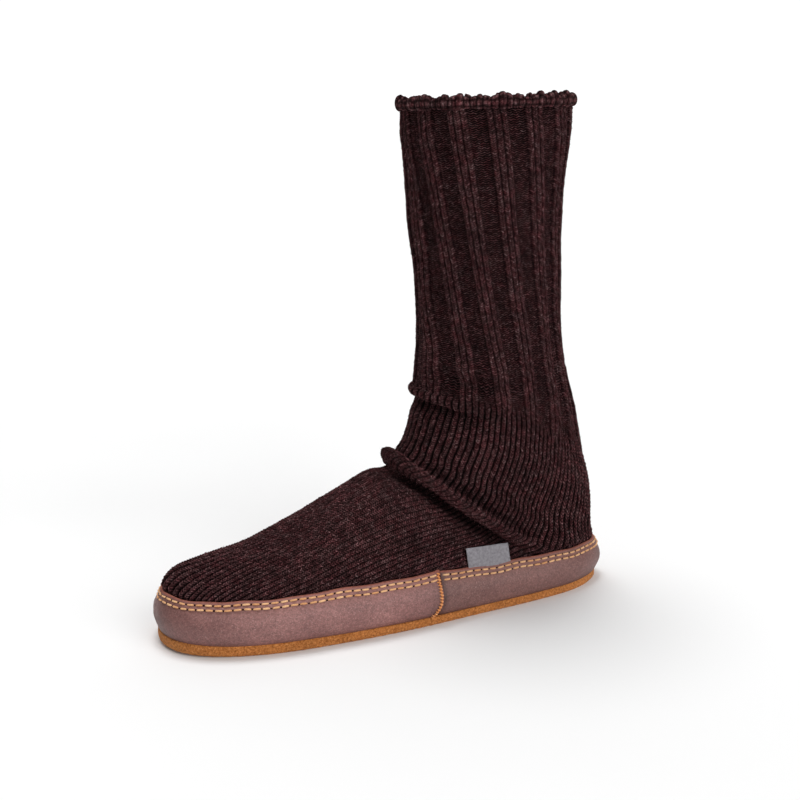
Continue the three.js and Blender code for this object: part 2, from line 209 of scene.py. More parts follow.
# ---------------------------------------------------------------- mesh helpers
def make_mesh(name, verts, quads=None, tris=None, uv=None, attrs=None, smooth_shade=True):
    """uv is {layer: (quad corner uvs (n,4,2), tri corner uvs (n,3,2))}; attrs is {name: per-vertex values}."""
    quads = np.zeros((0, 4), np.int32) if quads is None else np.asarray(quads, np.int32)
    tris = np.zeros((0, 3), np.int32) if tris is None else np.asarray(tris, np.int32)
    me = bpy.data.meshes.new(name)
    me.vertices.add(len(verts))
    me.vertices.foreach_set("co", np.asarray(verts, np.float32).ravel())
    loops = np.concatenate([quads.ravel(), tris.ravel()]).astype(np.int32)
    me.loops.add(len(loops))
    me.loops.foreach_set("vertex_index", loops)
    total = len(quads) + len(tris)
    me.polygons.add(total)
    starts = np.concatenate([4 * np.arange(len(quads)), 4 * len(quads) + 3 * np.arange(len(tris))]).astype(np.int32)
    me.polygons.foreach_set("loop_start", starts)
    me.update(calc_edges=True)
    for layer, (q, t) in (uv or {}).items():
        lay = me.uv_layers.new(name=layer, do_init=False)
        data = np.concatenate([np.asarray(q, np.float32).reshape(-1, 2) if q is not None else np.zeros((0, 2), np.float32),
                               np.asarray(t, np.float32).reshape(-1, 2) if t is not None else np.zeros((0, 2), np.float32)])
        lay.uv.foreach_set("vector", data.ravel())
    for a, v in (attrs or {}).items():
        at = me.attributes.new(a, "FLOAT", "POINT")
        at.data.foreach_set("value", np.asarray(v, np.float32).ravel())
    if smooth_shade:
        me.polygons.foreach_set("use_smooth", np.ones(total, bool))
    me.validate()
    me.update()
    ob = bpy.data.objects.new(name, me)
    bpy.context.scene.collection.objects.link(ob)
    return ob


def grid_quads(rows, cols, wrap):
    i = np.arange(rows - 1)[:, None]
    j = np.arange(cols if wrap else cols - 1)[None, :]
    k = (j + 1) % cols
    a, b = i * cols + j, i * cols + k
    return np.stack([a, b, b + cols, a + cols], -1).reshape(-1, 4)


def grid_normals(p, wrap):
    if wrap:
        dc = np.roll(p, -1, 1) - np.roll(p, 1, 1)
    else:
        dc = np.gradient(p, axis=1)
    dr = np.gradient(p, axis=0)
    n = np.cross(dr, dc)
    return n / np.maximum(1e-9, np.linalg.norm(n, axis=-1, keepdims=True))


def waves(p, seed, scale, terms=6):
    """Smooth repeatable noise of about unit size at points p, with features about scale across."""
    r = np.random.default_rng(seed)
    out = np.zeros(p.shape[:-1])
    for _ in range(terms):
        d = r.normal(size=3)
        d /= np.linalg.norm(d)
        out += np.sin(p @ d * (2 * np.pi / scale) * r.uniform(0.6, 1.5) + r.uniform(0, 6.28))
    return out / math.sqrt(terms / 2) / 1.4


# ---------------------------------------------------------------- the knit
PER_WALE = 6
COLS = WALES * PER_WALE
KNIT_WALES = 3                     # raised wales in each rib repeat
RIB_PHASE = 1.0                    # wale at which a raised rib starts
COURSE = 1.5                       # height of a course on the foot, mm


def table(keys, values):
    k, v = np.array(keys, float), np.array(values, float)
    return lambda x: np.interp(x, k, v)


# how far the wales run off the tube's own lines, in wales: a fan at the toe, a draw at the heel, a lean up the leg
TOE_FAN = curve([0, 1, 2, 3, 4, 5, 6, 7, 8, 9], [10.4, 10, 9, 7.0, 4.3, 2.1, 0.8, 0.2, 0, 0])
HEEL_DRAW = curve([0, 5, 6, 7, 8, 9.6, 10.4, 11.2, 12, 13, 19], [0, 0, -0.6, -1.5, -2.2, -2.6, -2.4, -1.6, -0.7, 0, 0])
LEG_DRAW = curve([0, 10.4, 11, 12, 13.2, 14, 15, 16, 17, 18, 19], [0, 0, 0.5, 1.7, 3.0, 3.1, 2.3, 1.3, 0.3, -0.6, -1.3])
LEAN = curve([0, 12.8, 14, 16, 18, 19], [0, 0, -0.25, -1.0, -2.0, -2.7])


def wander(cw, u):
    half = np.where(cw <= WALES / 2, cw, WALES - cw)
    sign = np.where(cw <= WALES / 2, 1.0, -1.0)
    fan = (1 - np.exp(-half / 4)) * (1 - (half / 42) ** 2)
    heel = np.exp(-(((half - 27) / 8) ** 2))
    leg = (half / 11) * np.exp(1 - half / 11) * (1 - (half / 42) ** 4)
    return cw + sign * (TOE_FAN(u) * fan + HEEL_DRAW(u) * heel + LEG_DRAW(u) * leg) + LEAN(u)


def rib_amount(half, u):
    return smooth(13.05, 13.5, u + 0.45 * smooth(15, 30, half))


def wale_warp(rib):
    """Where each column lies round the tube, in wales; raised wales draw in where the knit is ribbed."""
    cw = np.arange(COLS) / PER_WALE
    rep_, q_ = np.divmod(cw - RIB_PHASE, PER_REPEAT)
    narrow = 1.10
    wide = (PER_REPEAT - KNIT_WALES * narrow) / (PER_REPEAT - KNIT_WALES)
    warped = rep_ * PER_REPEAT + np.where(q_ < KNIT_WALES, q_ * narrow, KNIT_WALES * narrow + (q_ - KNIT_WALES) * wide) + RIB_PHASE - 0.27
    return cw[None, :] * (1 - rib) + warped[None, :] * rib


def tube_rows():
    """Stations of the courses, from the toe to the collar."""
    u = np.linspace(1.2, 19, 700)
    probe = rings(u, np.tile(np.array([0.08, 0.14, 0.2, 0.26])[None, :], (len(u), 1)))
    ds = np.linalg.norm(np.diff(probe, axis=0), axis=2).mean(1)
    mid = (u[:-1] + u[1:]) / 2
    more = 1 + 1.5 * np.exp(-((mid - 10.1) / 0.42) ** 2) + 0.6 * np.exp(-((mid - 13.05) / 0.25) ** 2) + 0.24 * smooth(12.6, 13.4, mid)
    run = np.concatenate([[0], np.cumsum(ds * more)])
    n = int(run[-1] / COURSE)
    return np.interp(np.linspace(0, run[-1], n + 1), run, u)


COURSES = tube_rows()
GRID_U = np.linspace(1.1, 19, 1100)
GRID_F = np.linspace(0, 1, 601)
GRID = rings(GRID_U, np.tile(np.minimum(GRID_F, 0.999999)[None, :], (len(GRID_U), 1)))


def on_tube(u, fr):
    """Points of the tube at stations u and fractions fr round it."""
    a_ = np.clip((u - GRID_U[0]) / (GRID_U[1] - GRID_U[0]), 0, len(GRID_U) - 1.001)
    b_ = np.mod(fr, 1.0) * (len(GRID_F) - 1)
    i_, j_ = a_.astype(int), np.minimum(b_.astype(int), len(GRID_F) - 2)
    s_, t_ = (a_ - i_)[..., None], (b_ - j_)[..., None]
    return (GRID[i_, j_] * (1 - s_) + GRID[i_ + 1, j_] * s_) * (1 - t_) + (GRID[i_, j_ + 1] * (1 - s_) + GRID[i_ + 1, j_ + 1] * s_) * t_


# two rows of points to a course, one on the yarn and one in the hollow between; the rows follow the yarn's own path,
# in chevrons up each raised wale and in wavy bars on the reverse ones
ROW_V = np.arange(2 * (len(COURSES) - 1) + 1) / 2.0
CW = np.arange(COLS) / PER_WALE
FX = np.mod(CW, 1.0)
HALF = np.where(CW <= 42, CW, WALES - CW)
US = np.interp(ROW_V, np.arange(len(COURSES)), COURSES)
RIB = rib_amount(HALF[None, :], US[:, None])
q = np.mod(CW - RIB_PHASE, PER_REPEAT)
edge = 0.5
raised = smooth(-edge / 2, edge / 2, q) * (1 - smooth(KNIT_WALES - edge / 2, KNIT_WALES + edge / 2, q)) + smooth(PER_REPEAT - edge / 2, PER_REPEAT + edge / 2, q)
purl = RIB * (1 - raised)[None, :]
slide = (1 - purl) * (1.05 * (np.abs(2 * FX - 1) - 0.5))[None, :] + purl * (0.62 * (np.abs(2 * FX - 1) - 0.5))[None, :]
U_AT = np.interp(ROW_V[:, None] + slide, np.arange(len(COURSES)), COURSES)
WALE_AT = wander(wale_warp(RIB), U_AT)
BASE = on_tube(U_AT, WALE_AT / WALES)
NORMAL = outward(BASE)
step = np.linalg.norm(np.diff(BASE, axis=0), axis=2)
along = np.concatenate([np.zeros((1, COLS)), np.cumsum(step, axis=0)])
TANGENT = np.gradient(BASE, axis=0)
TANGENT /= np.maximum(1e-9, np.linalg.norm(TANGENT, axis=-1, keepdims=True))
turn = np.mod(WALE_AT + 42, WALES) - 42          # wales from the top line, outer side positive
side_at = np.abs(turn)


def cord(d, r, bend, base, lean, trough, behind):
    """A soft roll of cloth: sideways and outward shift at a distance d along the wale from its middle."""
    top_ = math.radians(bend)
    phi = np.clip(d / base, -1, 1) * top_
    foot_ = r * math.sin(top_)
    t = np.where(np.abs(d) < base, r * np.sin(phi), d - np.sign(d) * (base - foot_) * np.exp(-(np.abs(d) - base) / 6))
    h = np.where(np.abs(d) < base, r * (np.cos(phi) - math.cos(top_)), 0.0)
    full = r * (1 - math.cos(top_))
    t = t - lean * (h / full) ** 0.8 - 0.45 * lean * np.exp(-(d / base) ** 2)
    h = h - trough * np.exp(-(((d + base + 2.2) / 5.0) ** 2)) - behind * np.exp(-(((d - base - 1.2) / 3.6) ** 2))
    return t - d, h


def from_station(u_col):
    at = np.array([np.interp(u_col[k], U_AT[:, k], along[:, k]) for k in range(COLS)])
    return along - at[None, :]


SMOOTH = BASE.copy()
near = np.array([np.interp(10.1, U_AT[:, k], side_at[:, k]) for k in range(COLS)])
d = from_station(table([0, 2.5, 5, 7, 9.5, 15, 20, 24, 30], [9.93, 9.98, 10.04, 10.08, 10.12, 10.15, 10.18, 10.22, 10.25])(near))
fade = table([0, 8, 12, 16, 19, 22, 24.5, 27], [1, 1, 1, 0.95, 0.82, 0.55, 0.22, 0])(side_at)
wob = 1 + 0.07 * np.sin(side_at * 0.55 + 0.8) + 0.05 * np.sin(side_at * 1.25)
deep = 0.25 + 0.75 * smooth(1, 7, side_at)
t, h = cord(d / wob, 4.5, 116, 6.2, 1.1, 4.6 * deep, -1.0 + 1.9 * smooth(2, 8, side_at))
on_roll = fade * np.exp(-((d / 6.0) ** 4))
# painted shade in the troughs of the folds (positive) and painted highlight on their crests (negative)
PAINTED_SHADE = fade * (0.80 * np.exp(-(((d + 10.0) / 4.8) ** 2)) * smooth(0.5, 5, side_at) + 0.50 * np.exp(-(((d - 8.2) / 2.2) ** 2)) * smooth(2, 7, side_at) - 0.30 * np.exp(-(((d - 1.0) / 4.0) ** 2)))
SMOOTH = SMOOTH + TANGENT * (fade * t * wob)[..., None] + NORMAL * (fade * h * wob)[..., None]
# the instep lies a little lower in front of it
SMOOTH = SMOOTH - NORMAL * (2.1 * np.exp(-(((U_AT - 9.2) / 0.8) ** 2)) * np.exp(-((side_at / 10.0) ** 2)))[..., None]
# the trough runs on a little past the end of the roll
tail = np.exp(-(((side_at - 23.5) / 4.5) ** 2))
SMOOTH = SMOOTH - NORMAL * (1.5 * tail * np.exp(-(((d + 4) / 4.0) ** 2)))[..., None] + NORMAL * (0.9 * tail * np.exp(-(((d - 3) / 4.5) ** 2)))[..., None]
# second roll at the front of the ankle
d = from_station(np.full(COLS, 12.99))
fade = table([0, 4, 7, 10, 14, 18], [1, 0.95, 0.72, 0.45, 0.22, 0])(side_at)
t, h = cord(d, 2.8, 106, 3.9, 0.8, 2.2, -0.3)
# painted shade under the second roll, painted highlight on its crest
PAINTED_SHADE += fade * (0.34 * np.exp(-(((d + 6.5) / 3.4) ** 2)) - 0.15 * np.exp(-((d / 3.5) ** 2)))
SMOOTH = SMOOTH + TANGENT * (fade * t)[..., None] + NORMAL * (fade * h)[..., None]
# soft creases above it, on the ribs
for u0, mid0, span, high_, deep in ((13.22, 9.0, 7.5, 1.5, 1.4), (13.62, 4.0, 4.5, 1.2, 1.0), (13.48, 16.0, 5.0, 1.0, 1.0), (14.12, 11.5, 8.0, 2.3, 2.3), (14.5, -16.0, 9.0, 1.3, 1.2), (12.2, 17.0, 7.0, 0.5, 0.6)):
    d = from_station(np.full(COLS, u0) + 0.012 * (np.mod(CW + 42, WALES) - 42 - mid0))
    fade = np.exp(-np.abs((turn - mid0) / span) ** 3)
    SMOOTH = SMOOTH + NORMAL * (fade * (high_ * np.exp(-((d / 4.6) ** 2)) - deep * np.exp(-(((d + 8.5) / 4.2) ** 2))))[..., None]
    # painted shade in each crease's trough, painted highlight on its ridge
    PAINTED_SHADE += fade * (0.13 * deep * np.exp(-(((d + 7.5) / 4.0) ** 2)) - 0.06 * high_ * np.exp(-((d / 5.0) ** 2)))

# slack cloth, the edge that presses over the band, and the neck under the collar
dz = SMOOTH[..., 2] - band_top(SMOOTH[..., 0])
slack = 0.6 * waves(BASE, 3, 46.0) + 0.3 * waves(BASE, 4, 23.0)
SMOOTH = SMOOTH + NORMAL * (slack * smooth(0, 14, dz) * (1 - smooth(262, 280, SMOOTH[..., 2])))[..., None]
by_label = np.exp(-(((SMOOTH[..., 0] - 86) / 19) ** 4)) * (SMOOTH[..., 1] > 0)
press = (1 - 0.75 * by_label) * 1.25 * np.exp(-(((dz - 3.4) / 5.0) ** 2)) * smooth(-0.6, 1.6, dz)
SMOOTH = SMOOTH + NORMAL * (press - 2.1 * smooth(264, 284, SMOOTH[..., 2]))[..., None]
FINE = grid_normals(SMOOTH, True)
FINE *= np.sign((FINE * NORMAL).sum(-1, keepdims=True).mean())

# wales, ribs and stitches
hump = np.sin(np.pi * FX) ** 0.7 * (1 - 0.16 * np.exp(-(((FX - 0.5) / 0.11) ** 2)))
crown = raised * np.sin(np.pi * np.clip(q / KNIT_WALES, 0, 1)) ** 0.8
plain_high = table([0, 3.5, 6, 8, 9.6, 10.4, 12.8, 19], [1.4, 1.25, 0.6, 0.42, 0.5, 1.05, 1.1, 1.2])(U_AT)
flank = smooth(9, 19, side_at)
plain_high = (plain_high + (0.62 - np.minimum(plain_high, 0.62)) * flank) * (1 - 0.65 * on_roll)
lots = rng.normal(0, 1, (len(COURSES) + 1, WALES * 2))
lot = np.repeat(lots[np.clip(np.round(ROW_V).astype(int), 0, len(COURSES))], PER_WALE // 2, axis=1)
relief = plain_high * (hump[None, :] - 0.8) * (1 - RIB)
relief += RIB * (raised[None, :] * (-0.45 + 0.7 * (hump[None, :] - 0.8)) + 0.8 * crown[None, :] + (1 - raised[None, :]) * (-2.0 + 0.25 * (hump[None, :] - 0.5)))
legs = 0.25 + 0.75 * np.sin(np.pi * FX) ** 0.6 * (1 - 0.3 * np.exp(-(((FX - 0.5) / 0.12) ** 2)))
even = np.where(np.arange(len(ROW_V)) % 2 == 0, 1.0, -1.0)[:, None]
relief += even * ((1 - purl) * 0.20 * legs[None, :] + purl * 0.27) * (1 + 0.35 * lot) + 0.07 * lot
tuck = 1 - smooth(-0.4, 1.8, dz)
relief = relief * (1 - 0.8 * tuck) - 0.8 * tuck
OUT = SMOOTH + FINE * relief[..., None]

# the bound-off collar: the edge rolls outward into a plump cord of looped stitches
top = BASE[-1]
top_n = NORMAL[-1].copy()
top_n[:, 2] = 0
top_n /= np.linalg.norm(top_n, axis=1, keepdims=True)
ang = np.linspace(-158, 228, 20)
per = np.repeat(rng.normal(0, 1, WALES), PER_WALE)
scallop = np.sin(2 * np.pi * CW / 3.0 + 0.4) + 0.5 * np.sin(2 * np.pi * CW / 7.0 + 1.0)
fat = 0.86 + 0.20 * hump + 0.06 * scallop + 0.05 * per
rise = 0.42 * scallop + 0.32 * per
roll_rows = []
for a_ in np.radians(ang):
    ca, sa = math.cos(a_), math.sin(a_)
    out_ = -2.0 + 2.3 * fat * ca
    up_ = COLLAR - 4.0 + rise * (0.5 + 0.5 * sa) + 3.4 * fat * sa
    roll_rows.append(np.concatenate([top[:, :2] + top_n[:, :2] * out_[:, None], up_[:, None]], 1))
ROLL = np.array(roll_rows)
low = OUT[:-2]
keep_rows = np.cumprod(SMOOTH[:-2][:, :, 2].max(1) < COLLAR - 4.2).astype(bool)
low = low[keep_rows]
OUTER = np.concatenate([low, ROLL], 0)
R = len(OUTER)
rows_kept = len(low)
course = np.concatenate([ROW_V[:rows_kept], ROW_V[rows_kept] + 0.5 + 0.34 * np.arange(len(ROLL))])
purl_all = np.concatenate([purl[:-2][keep_rows], np.zeros((len(ROLL), COLS))])
soft_all = table([0, 4.2, 6.2, 9.3, 9.8, 10.3, 19], [0, 0.1, 1, 1, 0.5, 0, 0])(U_AT) * (1 - 0.40 * flank) + 0.70 * RIB * raised[None, :]
soft_all = np.maximum(soft_all, 0.7 * on_roll)
soft_all = np.concatenate([soft_all[:-2][keep_rows], np.full((len(ROLL), COLS), 0.8)])
# painted shade and highlight of the folds; none on the collar roll
painted_shade_all = np.concatenate([np.clip(PAINTED_SHADE, -0.4, 0.85)[:-2][keep_rows], np.zeros((len(ROLL), COLS))])
OUTER_N = grid_normals(OUTER, True)
OUTER_N *= np.sign((OUTER_N[:rows_kept - 60] * NORMAL[:rows_kept - 60]).sum(-1).mean())


def knit_piece(name, r0, r1):
    P, N = OUTER[r0:r1 + 1], OUTER_N[r0:r1 + 1]
    quads = grid_quads(len(P), COLS, True)
    z = P.reshape(-1, 3)
    hidden = z[:, 2] < band_top(z[:, 0]) - 7
    quads = quads[~hidden[quads].all(1)]
    i, j = np.divmod(quads, COLS)
    uu = j / PER_WALE
    uu[:, 1:3] = np.where(uu[:, 1:3] < uu[:, :1] - 1e-6, WALES, uu[:, 1:3])
    vv = course[r0 + i]
    # each strip between two rows keeps its own slope, so that the yarn shows; round the tube the shading runs on smoothly
    dc = (np.roll(P, -1, 1) - np.roll(P, 1, 1)).reshape(-1, 3)
    left, right = z[quads[:, 3]] - z[quads[:, 0]], z[quads[:, 2]] - z[quads[:, 1]]
    slope = np.cross(np.stack([left, right, right, left], 1), dc[quads])
    slope /= np.maximum(1e-9, np.linalg.norm(slope, axis=-1, keepdims=True))
    smooth_n = N.reshape(-1, 3)[quads]
    slope *= np.sign((slope * smooth_n).sum(-1, keepdims=True))
    normal = 0.7 * slope + 0.3 * smooth_n
    normal /= np.maximum(1e-9, np.linalg.norm(normal, axis=-1, keepdims=True))
    used = np.unique(quads)
    remap = np.full(len(z), -1)
    remap[used] = np.arange(len(used))
    corner = z[quads]
    facing = (np.cross(corner[:, 1] - corner[:, 0], corner[:, 3] - corner[:, 0]) * smooth_n[:, 0]).sum(-1)
    way = slice(None) if np.median(facing) > 0 else slice(None, None, -1)
    ob = make_mesh(name, row(z[used]), quads=remap[quads][:, way], uv={"knit": (np.stack([uu, vv], -1)[:, way], None)},
                   attrs={"purl": purl_all[r0:r1 + 1].ravel()[used], "soft": soft_all[r0:r1 + 1].ravel()[used], "shade": painted_shade_all[r0:r1 + 1].ravel()[used]})
    ob.data.normals_split_custom_set(normal[:, way].reshape(-1, 3).tolist())
    return ob


cut_a, cut_b = 2 * int(np.searchsorted(COURSES, 10.85)), 2 * int(np.searchsorted(COURSES, 15.6))
sock_foot = knit_piece("knit_foot", 0, cut_a)
sock_ankle = knit_piece("knit_ankle", cut_a, cut_b)
sock_leg = knit_piece("knit_leg", cut_b, R - 1)

# the inside of the tube, with the reverse of the knit
lin_cols = np.arange(0, COLS, PER_WALE // 2)
lin_rows = np.unique(np.concatenate([np.arange(0, rows_kept, 6), [rows_kept - 1]]))
pick = lambda g: g[:-2][keep_rows][lin_rows][:, lin_cols]
lin = pick(SMOOTH) - pick(FINE) * (2.7 + 0.25 * ((np.arange(len(lin_cols)) % 2) * 2 - 1))[None, :, None]
rim = top[lin_cols] - top_n[lin_cols] * 4.4
rim[:, 2] = COLLAR - 5.0
lin = np.concatenate([lin, rim[None]], 0)
quads = grid_quads(len(lin), len(lin_cols), True)
zl = lin.reshape(-1, 3)
hidden = zl[:, 2] < 8.5
quads = quads[~hidden[quads].all(1)]
i, j = np.divmod(quads, len(lin_cols))
uu = j / 2.0
uu[:, 1:3] = np.where(uu[:, 1:3] < uu[:, :1] - 1e-6, WALES, uu[:, 1:3])
vv = np.concatenate([ROW_V[lin_rows], [ROW_V[rows_kept] + 2]])[i]
used = np.unique(quads)
remap = np.full(len(zl), -1)
remap[used] = np.arange(len(used))
lining = make_mesh("knit_inside", row(zl[used]), quads=remap[quads], uv={"knit": (np.stack([uu, vv], -1), None)},
                   attrs={"purl": np.ones(len(used)), "soft": np.zeros(len(used)), "shade": np.zeros(len(used))})

# ---------------------------------------------------------------- the leather band
def plan_loop(count):
    """Even points round the widest outline, starting at the heel, by the outer side to the toe and back."""
    k = np.linspace(0, np.pi, 1500)
    t = 0.5 - 0.5 * np.cos(k)
    xl = HEEL_X + LENGTH * t
    one = np.ones_like(t)
    a = np.stack([xl, half_width(t, 0, one)], 1)
    b = np.stack([xl, -half_width(t, 0, -one)], 1)[::-1]
    p = np.concatenate([a, b[1:]])
    run = np.concatenate([[0], np.cumsum(np.linalg.norm(np.diff(p, axis=0), axis=1))])
    s = np.linspace(0, run[-1], count, endpoint=False)
    return np.stack([np.interp(s, run, p[:, 0]), np.interp(s, run, p[:, 1])], 1), run[-1]


def loop_points(q, z):
    """Points of the sock's form at height z on rays through plan points q."""
    o = np.stack([np.clip(q[:, 0], 34, 222), 0 * q[:, 0], z + 0 * q[:, 0]], 1)
    d = np.concatenate([q - o[:, :2], np.zeros((len(q), 1))], 1)
    d /= np.linalg.norm(d, axis=1, keepdims=True)
    p = o + d * cast(o, d, 90.0)[:, None]
    return p


BAND_COLS = 900
PLAN, PERIM = plan_loop(BAND_COLS)


def band_low(x):
    return BAND_FLOOR + 1.3 * smooth(120, 235, x)


def band_surface(q, frac, off):
    """Point and outward direction of the band at a fraction of its height, off the sock by off."""
    probe = loop_points(q, np.full(len(q), 24.0))
    zt = band_top(probe[:, 0])
    zb = band_low(probe[:, 0])
    z = zb + (zt - zb) * frac
    p = loop_points(q, z)
    n = outward(p)
    return p + n * np.asarray(off)[..., None] if np.ndim(off) else p + n * off, n


def ripple(s):
    """Unevenness of the cut top edge along the band."""
    return 0.35 * np.sin(s / 9.5) + 0.25 * np.sin(s / 4.3 + 1.0) + 0.28 * np.sin(s / 23.0 + 2.0)


S_LOOP = PERIM * np.arange(BAND_COLS) / BAND_COLS
STITCH_ROWS = (2.4, 5.2)     # below the top edge, mm
profile_out = np.array([0.0, 0.03, 0.09, 0.17, 0.26, 0.35, 0.44, 0.53, 0.61, 0.68, 0.735, 0.76, 0.785, 0.81, 0.845, 0.87, 0.895, 0.92, 0.95, 0.975])
cols_xyz = []
for fr in profile_out:
    p, n = band_surface(PLAN, fr, GAP + LEATHER - 0.55 * float(smooth(0.84, 1.0, np.float64(fr))))
    below_mm = (band_top(p[:, 0]) - BAND_FLOOR) * (1 - fr)
    dent = 0
    for srow in STITCH_ROWS:
        dent = dent - 0.30 * np.exp(-((below_mm - srow) / 0.7) ** 2)
    dent = dent + 0.22 * np.exp(-((below_mm - 3.8) / 0.9) ** 2) + 0.75 * np.exp(-((below_mm - 11.0) / 4.2) ** 2)
    dent = dent + 0.16 * waves(p, 21, 30.0) * (0.3 + fr)
    p = p + n * np.asarray(dent)[:, None]
    if fr > 0.9:
        p[:, 2] += ripple(S_LOOP) * (fr - 0.9) / 0.1
    if fr < 0.05:
        p = p - n * (0.5 if fr == 0 else 0.12)
    cols_xyz.append(p)
# rounded raw edge over the top, then down the inside
p_out, n_top = band_surface(PLAN, 1.0, GAP + LEATHER - 0.55)
p_in, _ = band_surface(PLAN, 1.0, GAP * 0.5)
for k, (mix, lift) in enumerate(((0.10, -0.28), (0.30, 0.02), (0.55, 0.08), (0.8, 0.0), (1.0, -0.30))):
    p = p_out * (1 - mix) + p_in * mix
    p[:, 2] += lift + ripple(S_LOOP)
    cols_xyz.append(p)
for fr in (0.8, 0.5, 0.2, 0.0):
    p, n = band_surface(PLAN, fr, GAP * 0.5)
    cols_xyz.append(p)
BAND = np.array(cols_xyz)            # rows: outside bottom to top, over the edge, down the inside
EDGE_ROWS = (len(profile_out) - 1, len(profile_out) + 5)
edge_attr = np.zeros(BAND.shape[:2])
edge_attr[EDGE_ROWS[0]] = 0.55
edge_attr[EDGE_ROWS[0] + 1:EDGE_ROWS[1] + 1] = 1.0
height_attr = np.concatenate([profile_out, np.ones(5), [0.8, 0.5, 0.2, 0.0]])[:, None] + np.zeros(BAND.shape[:2])


def band_piece(name, front):
    x = PLAN[:, 0]
    k = np.arange(BAND_COLS)
    use = (BAND[12, :, 0] > SEAM_X + 0.1) if front else (BAND[12, :, 0] < SEAM_X - 0.1)
    idx = k[use]
    # a run of columns in order round the loop
    gap = np.where(np.diff(idx) > 1)[0]
    if len(gap):
        idx = np.concatenate([idx[gap[0] + 1:], idx[:gap[0] + 1]])
    P = BAND[:, idx].copy()
    # the end columns land on the seam
    for side, inner in ((0, 1), (-1, -2)):
        end = P[:, side].copy()
        nxt = P[:, inner]
        target = SEAM_X + (0.15 if front else -0.15)
        slope = (end - nxt)
        s = (target - end[:, 0]) / np.where(np.abs(slope[:, 0]) < 1e-6, 1e-6, slope[:, 0])
        P[:, side] = end + slope * s[:, None]
    rows_n, cols_n = P.shape[:2]
    # at the bottom the seam swings forward
    run_cols = np.arange(cols_n) * (PERIM / BAND_COLS)
    swing = 4.2 * (1 - smooth(0.0, 0.46, height_attr[:, idx[:1]])) ** 1.2
    for side, inner, far in ((0, 1, run_cols), (-1, -2, run_cols[::-1])):
        fwd = P[:, side] - P[:, inner]
        fwd = fwd * np.sign(fwd[:, :1]) / np.linalg.norm(fwd, axis=1, keepdims=True)
        P += fwd[:, None, :] * (swing * np.exp(-far / 5.0)[None, :])[..., None]
    d_end = np.minimum(np.arange(cols_n), cols_n - 1 - np.arange(cols_n)) * (PERIM / BAND_COLS)
    n = outward(P.reshape(-1, 3)).reshape(P.shape)
    fr = height_attr[:, idx]
    outer_rows = (np.arange(rows_n) < len(profile_out) + 3)[:, None]
    if front:
        swell = 0.95 * np.exp(-(d_end / 4.0) ** 2)[None, :] * outer_rows * smooth(0.02, 0.3, fr) * (1 - 0.35 * smooth(0.75, 1.0, fr))
        wrinkle = 0.14 * np.sin(d_end * 2.6 + 3 * fr) * np.exp(-(d_end / 9.0) ** 2) * outer_rows
        P += n * (swell + wrinkle)[..., None]
        P[..., 2] += (0.9 * np.exp(-(d_end / 3.0) ** 2)[None, :] * smooth(0.9, 1.0, fr))
    else:
        P -= n * (0.6 * np.exp(-(d_end / 2.4) ** 2)[None, :] * outer_rows)[..., None]
    v = P.reshape(-1, 3)
    loop = np.arange(rows_n)
    q = []
    for a in range(rows_n):
        b = (a + 1) % rows_n
        j = np.arange(cols_n - 1)
        q.append(np.stack([a * cols_n + j, a * cols_n + j + 1, b * cols_n + j + 1, b * cols_n + j], 1))
    q = np.concatenate(q)
    # closed ends between the outside and the inside
    tris, endq = [], []
    for col, flip in ((0, True), (cols_n - 1, False)):
        ring = loop * cols_n + col
        lo, hi = 0, rows_n - 1
        while hi - lo > 2:
            face = [ring[lo], ring[lo + 1], ring[hi - 1], ring[hi]]
            endq.append(face if flip else face[::-1])
            lo, hi = lo + 1, hi - 1
        if hi - lo == 2:
            face = [ring[lo], ring[lo + 1], ring[hi]]
            tris.append(face if flip else face[::-1])
    allq = np.concatenate([q, np.array(endq)])
    ob = make_mesh(name, row(v), quads=allq, tris=np.array(tris) if tris else None,
                   # end is a painted highlight on the front piece ahead of the seam
                   attrs={"raw": edge_attr[:, idx].ravel(), "high": fr.ravel(), "end": (np.exp(-((d_end - 52.0) / 66.0) ** 2)[None, :] * (1.0 if front else 0.0) + 0 * fr).ravel(),
                          # near is painted shade by the seam ends, deepest low on the band
                          "near": (np.exp(-(d_end / 11.0) ** 2)[None, :] * (1.0 if front else 0.3) * (1 - 0.75 * np.clip(fr, 0, 1))).ravel(),
                          # gap is painted shade on the rear piece where it runs under the front piece at the seam
                          "gap": (np.exp(-(d_end / 2.4) ** 2)[None, :] * (0.0 if front else 1.0) + 0 * fr).ravel(),
                          "rim": (np.exp(-(d_end / 0.9) ** 4)[None, :] * (1.0 if front else 0.0) + 0 * fr).ravel()})
    return ob, P, idx


band_front, PF, idx_f = band_piece("leather_front", True)
band_rear, PR, idx_r = band_piece("leather_rear", False)


def fix_normals(ob):
    import bmesh
    bm = bmesh.new()
    bm.from_mesh(ob.data)
    bmesh.ops.recalc_face_normals(bm, faces=bm.faces)
    bm.to_mesh(ob.data)
    bm.free()


for ob in (band_front, band_rear):
    fix_normals(ob)

# ---------------------------------------------------------------- thread
def strand(points, radius, sides=6, normals=None, flat=1.0):
    """Closed round thread along points (n,3); returns vertices and quads+tris as lists."""
    p = np.asarray(points, float)
    n = len(p)
    t = np.gradient(p, axis=0)
    t /= np.maximum(1e-9, np.linalg.norm(t, axis=1, keepdims=True))
    ref = np.asarray(normals, float) if normals is not None else np.tile([0, 0, 1.0], (n, 1))
    b = np.cross(t, ref)
    b /= np.maximum(1e-9, np.linalg.norm(b, axis=1, keepdims=True))
    nn = np.cross(b, t)
    a = 2 * np.pi * np.arange(sides) / sides
    r = np.asarray(radius, float) * np.ones(n)
    v = p[:, None] + r[:, None, None] * (b[:, None] * np.cos(a)[None, :, None] + nn[:, None] * (flat * np.sin(a))[None, :, None])
    return v.reshape(-1, 3), grid_quads(n, sides, True)[:, ::-1]


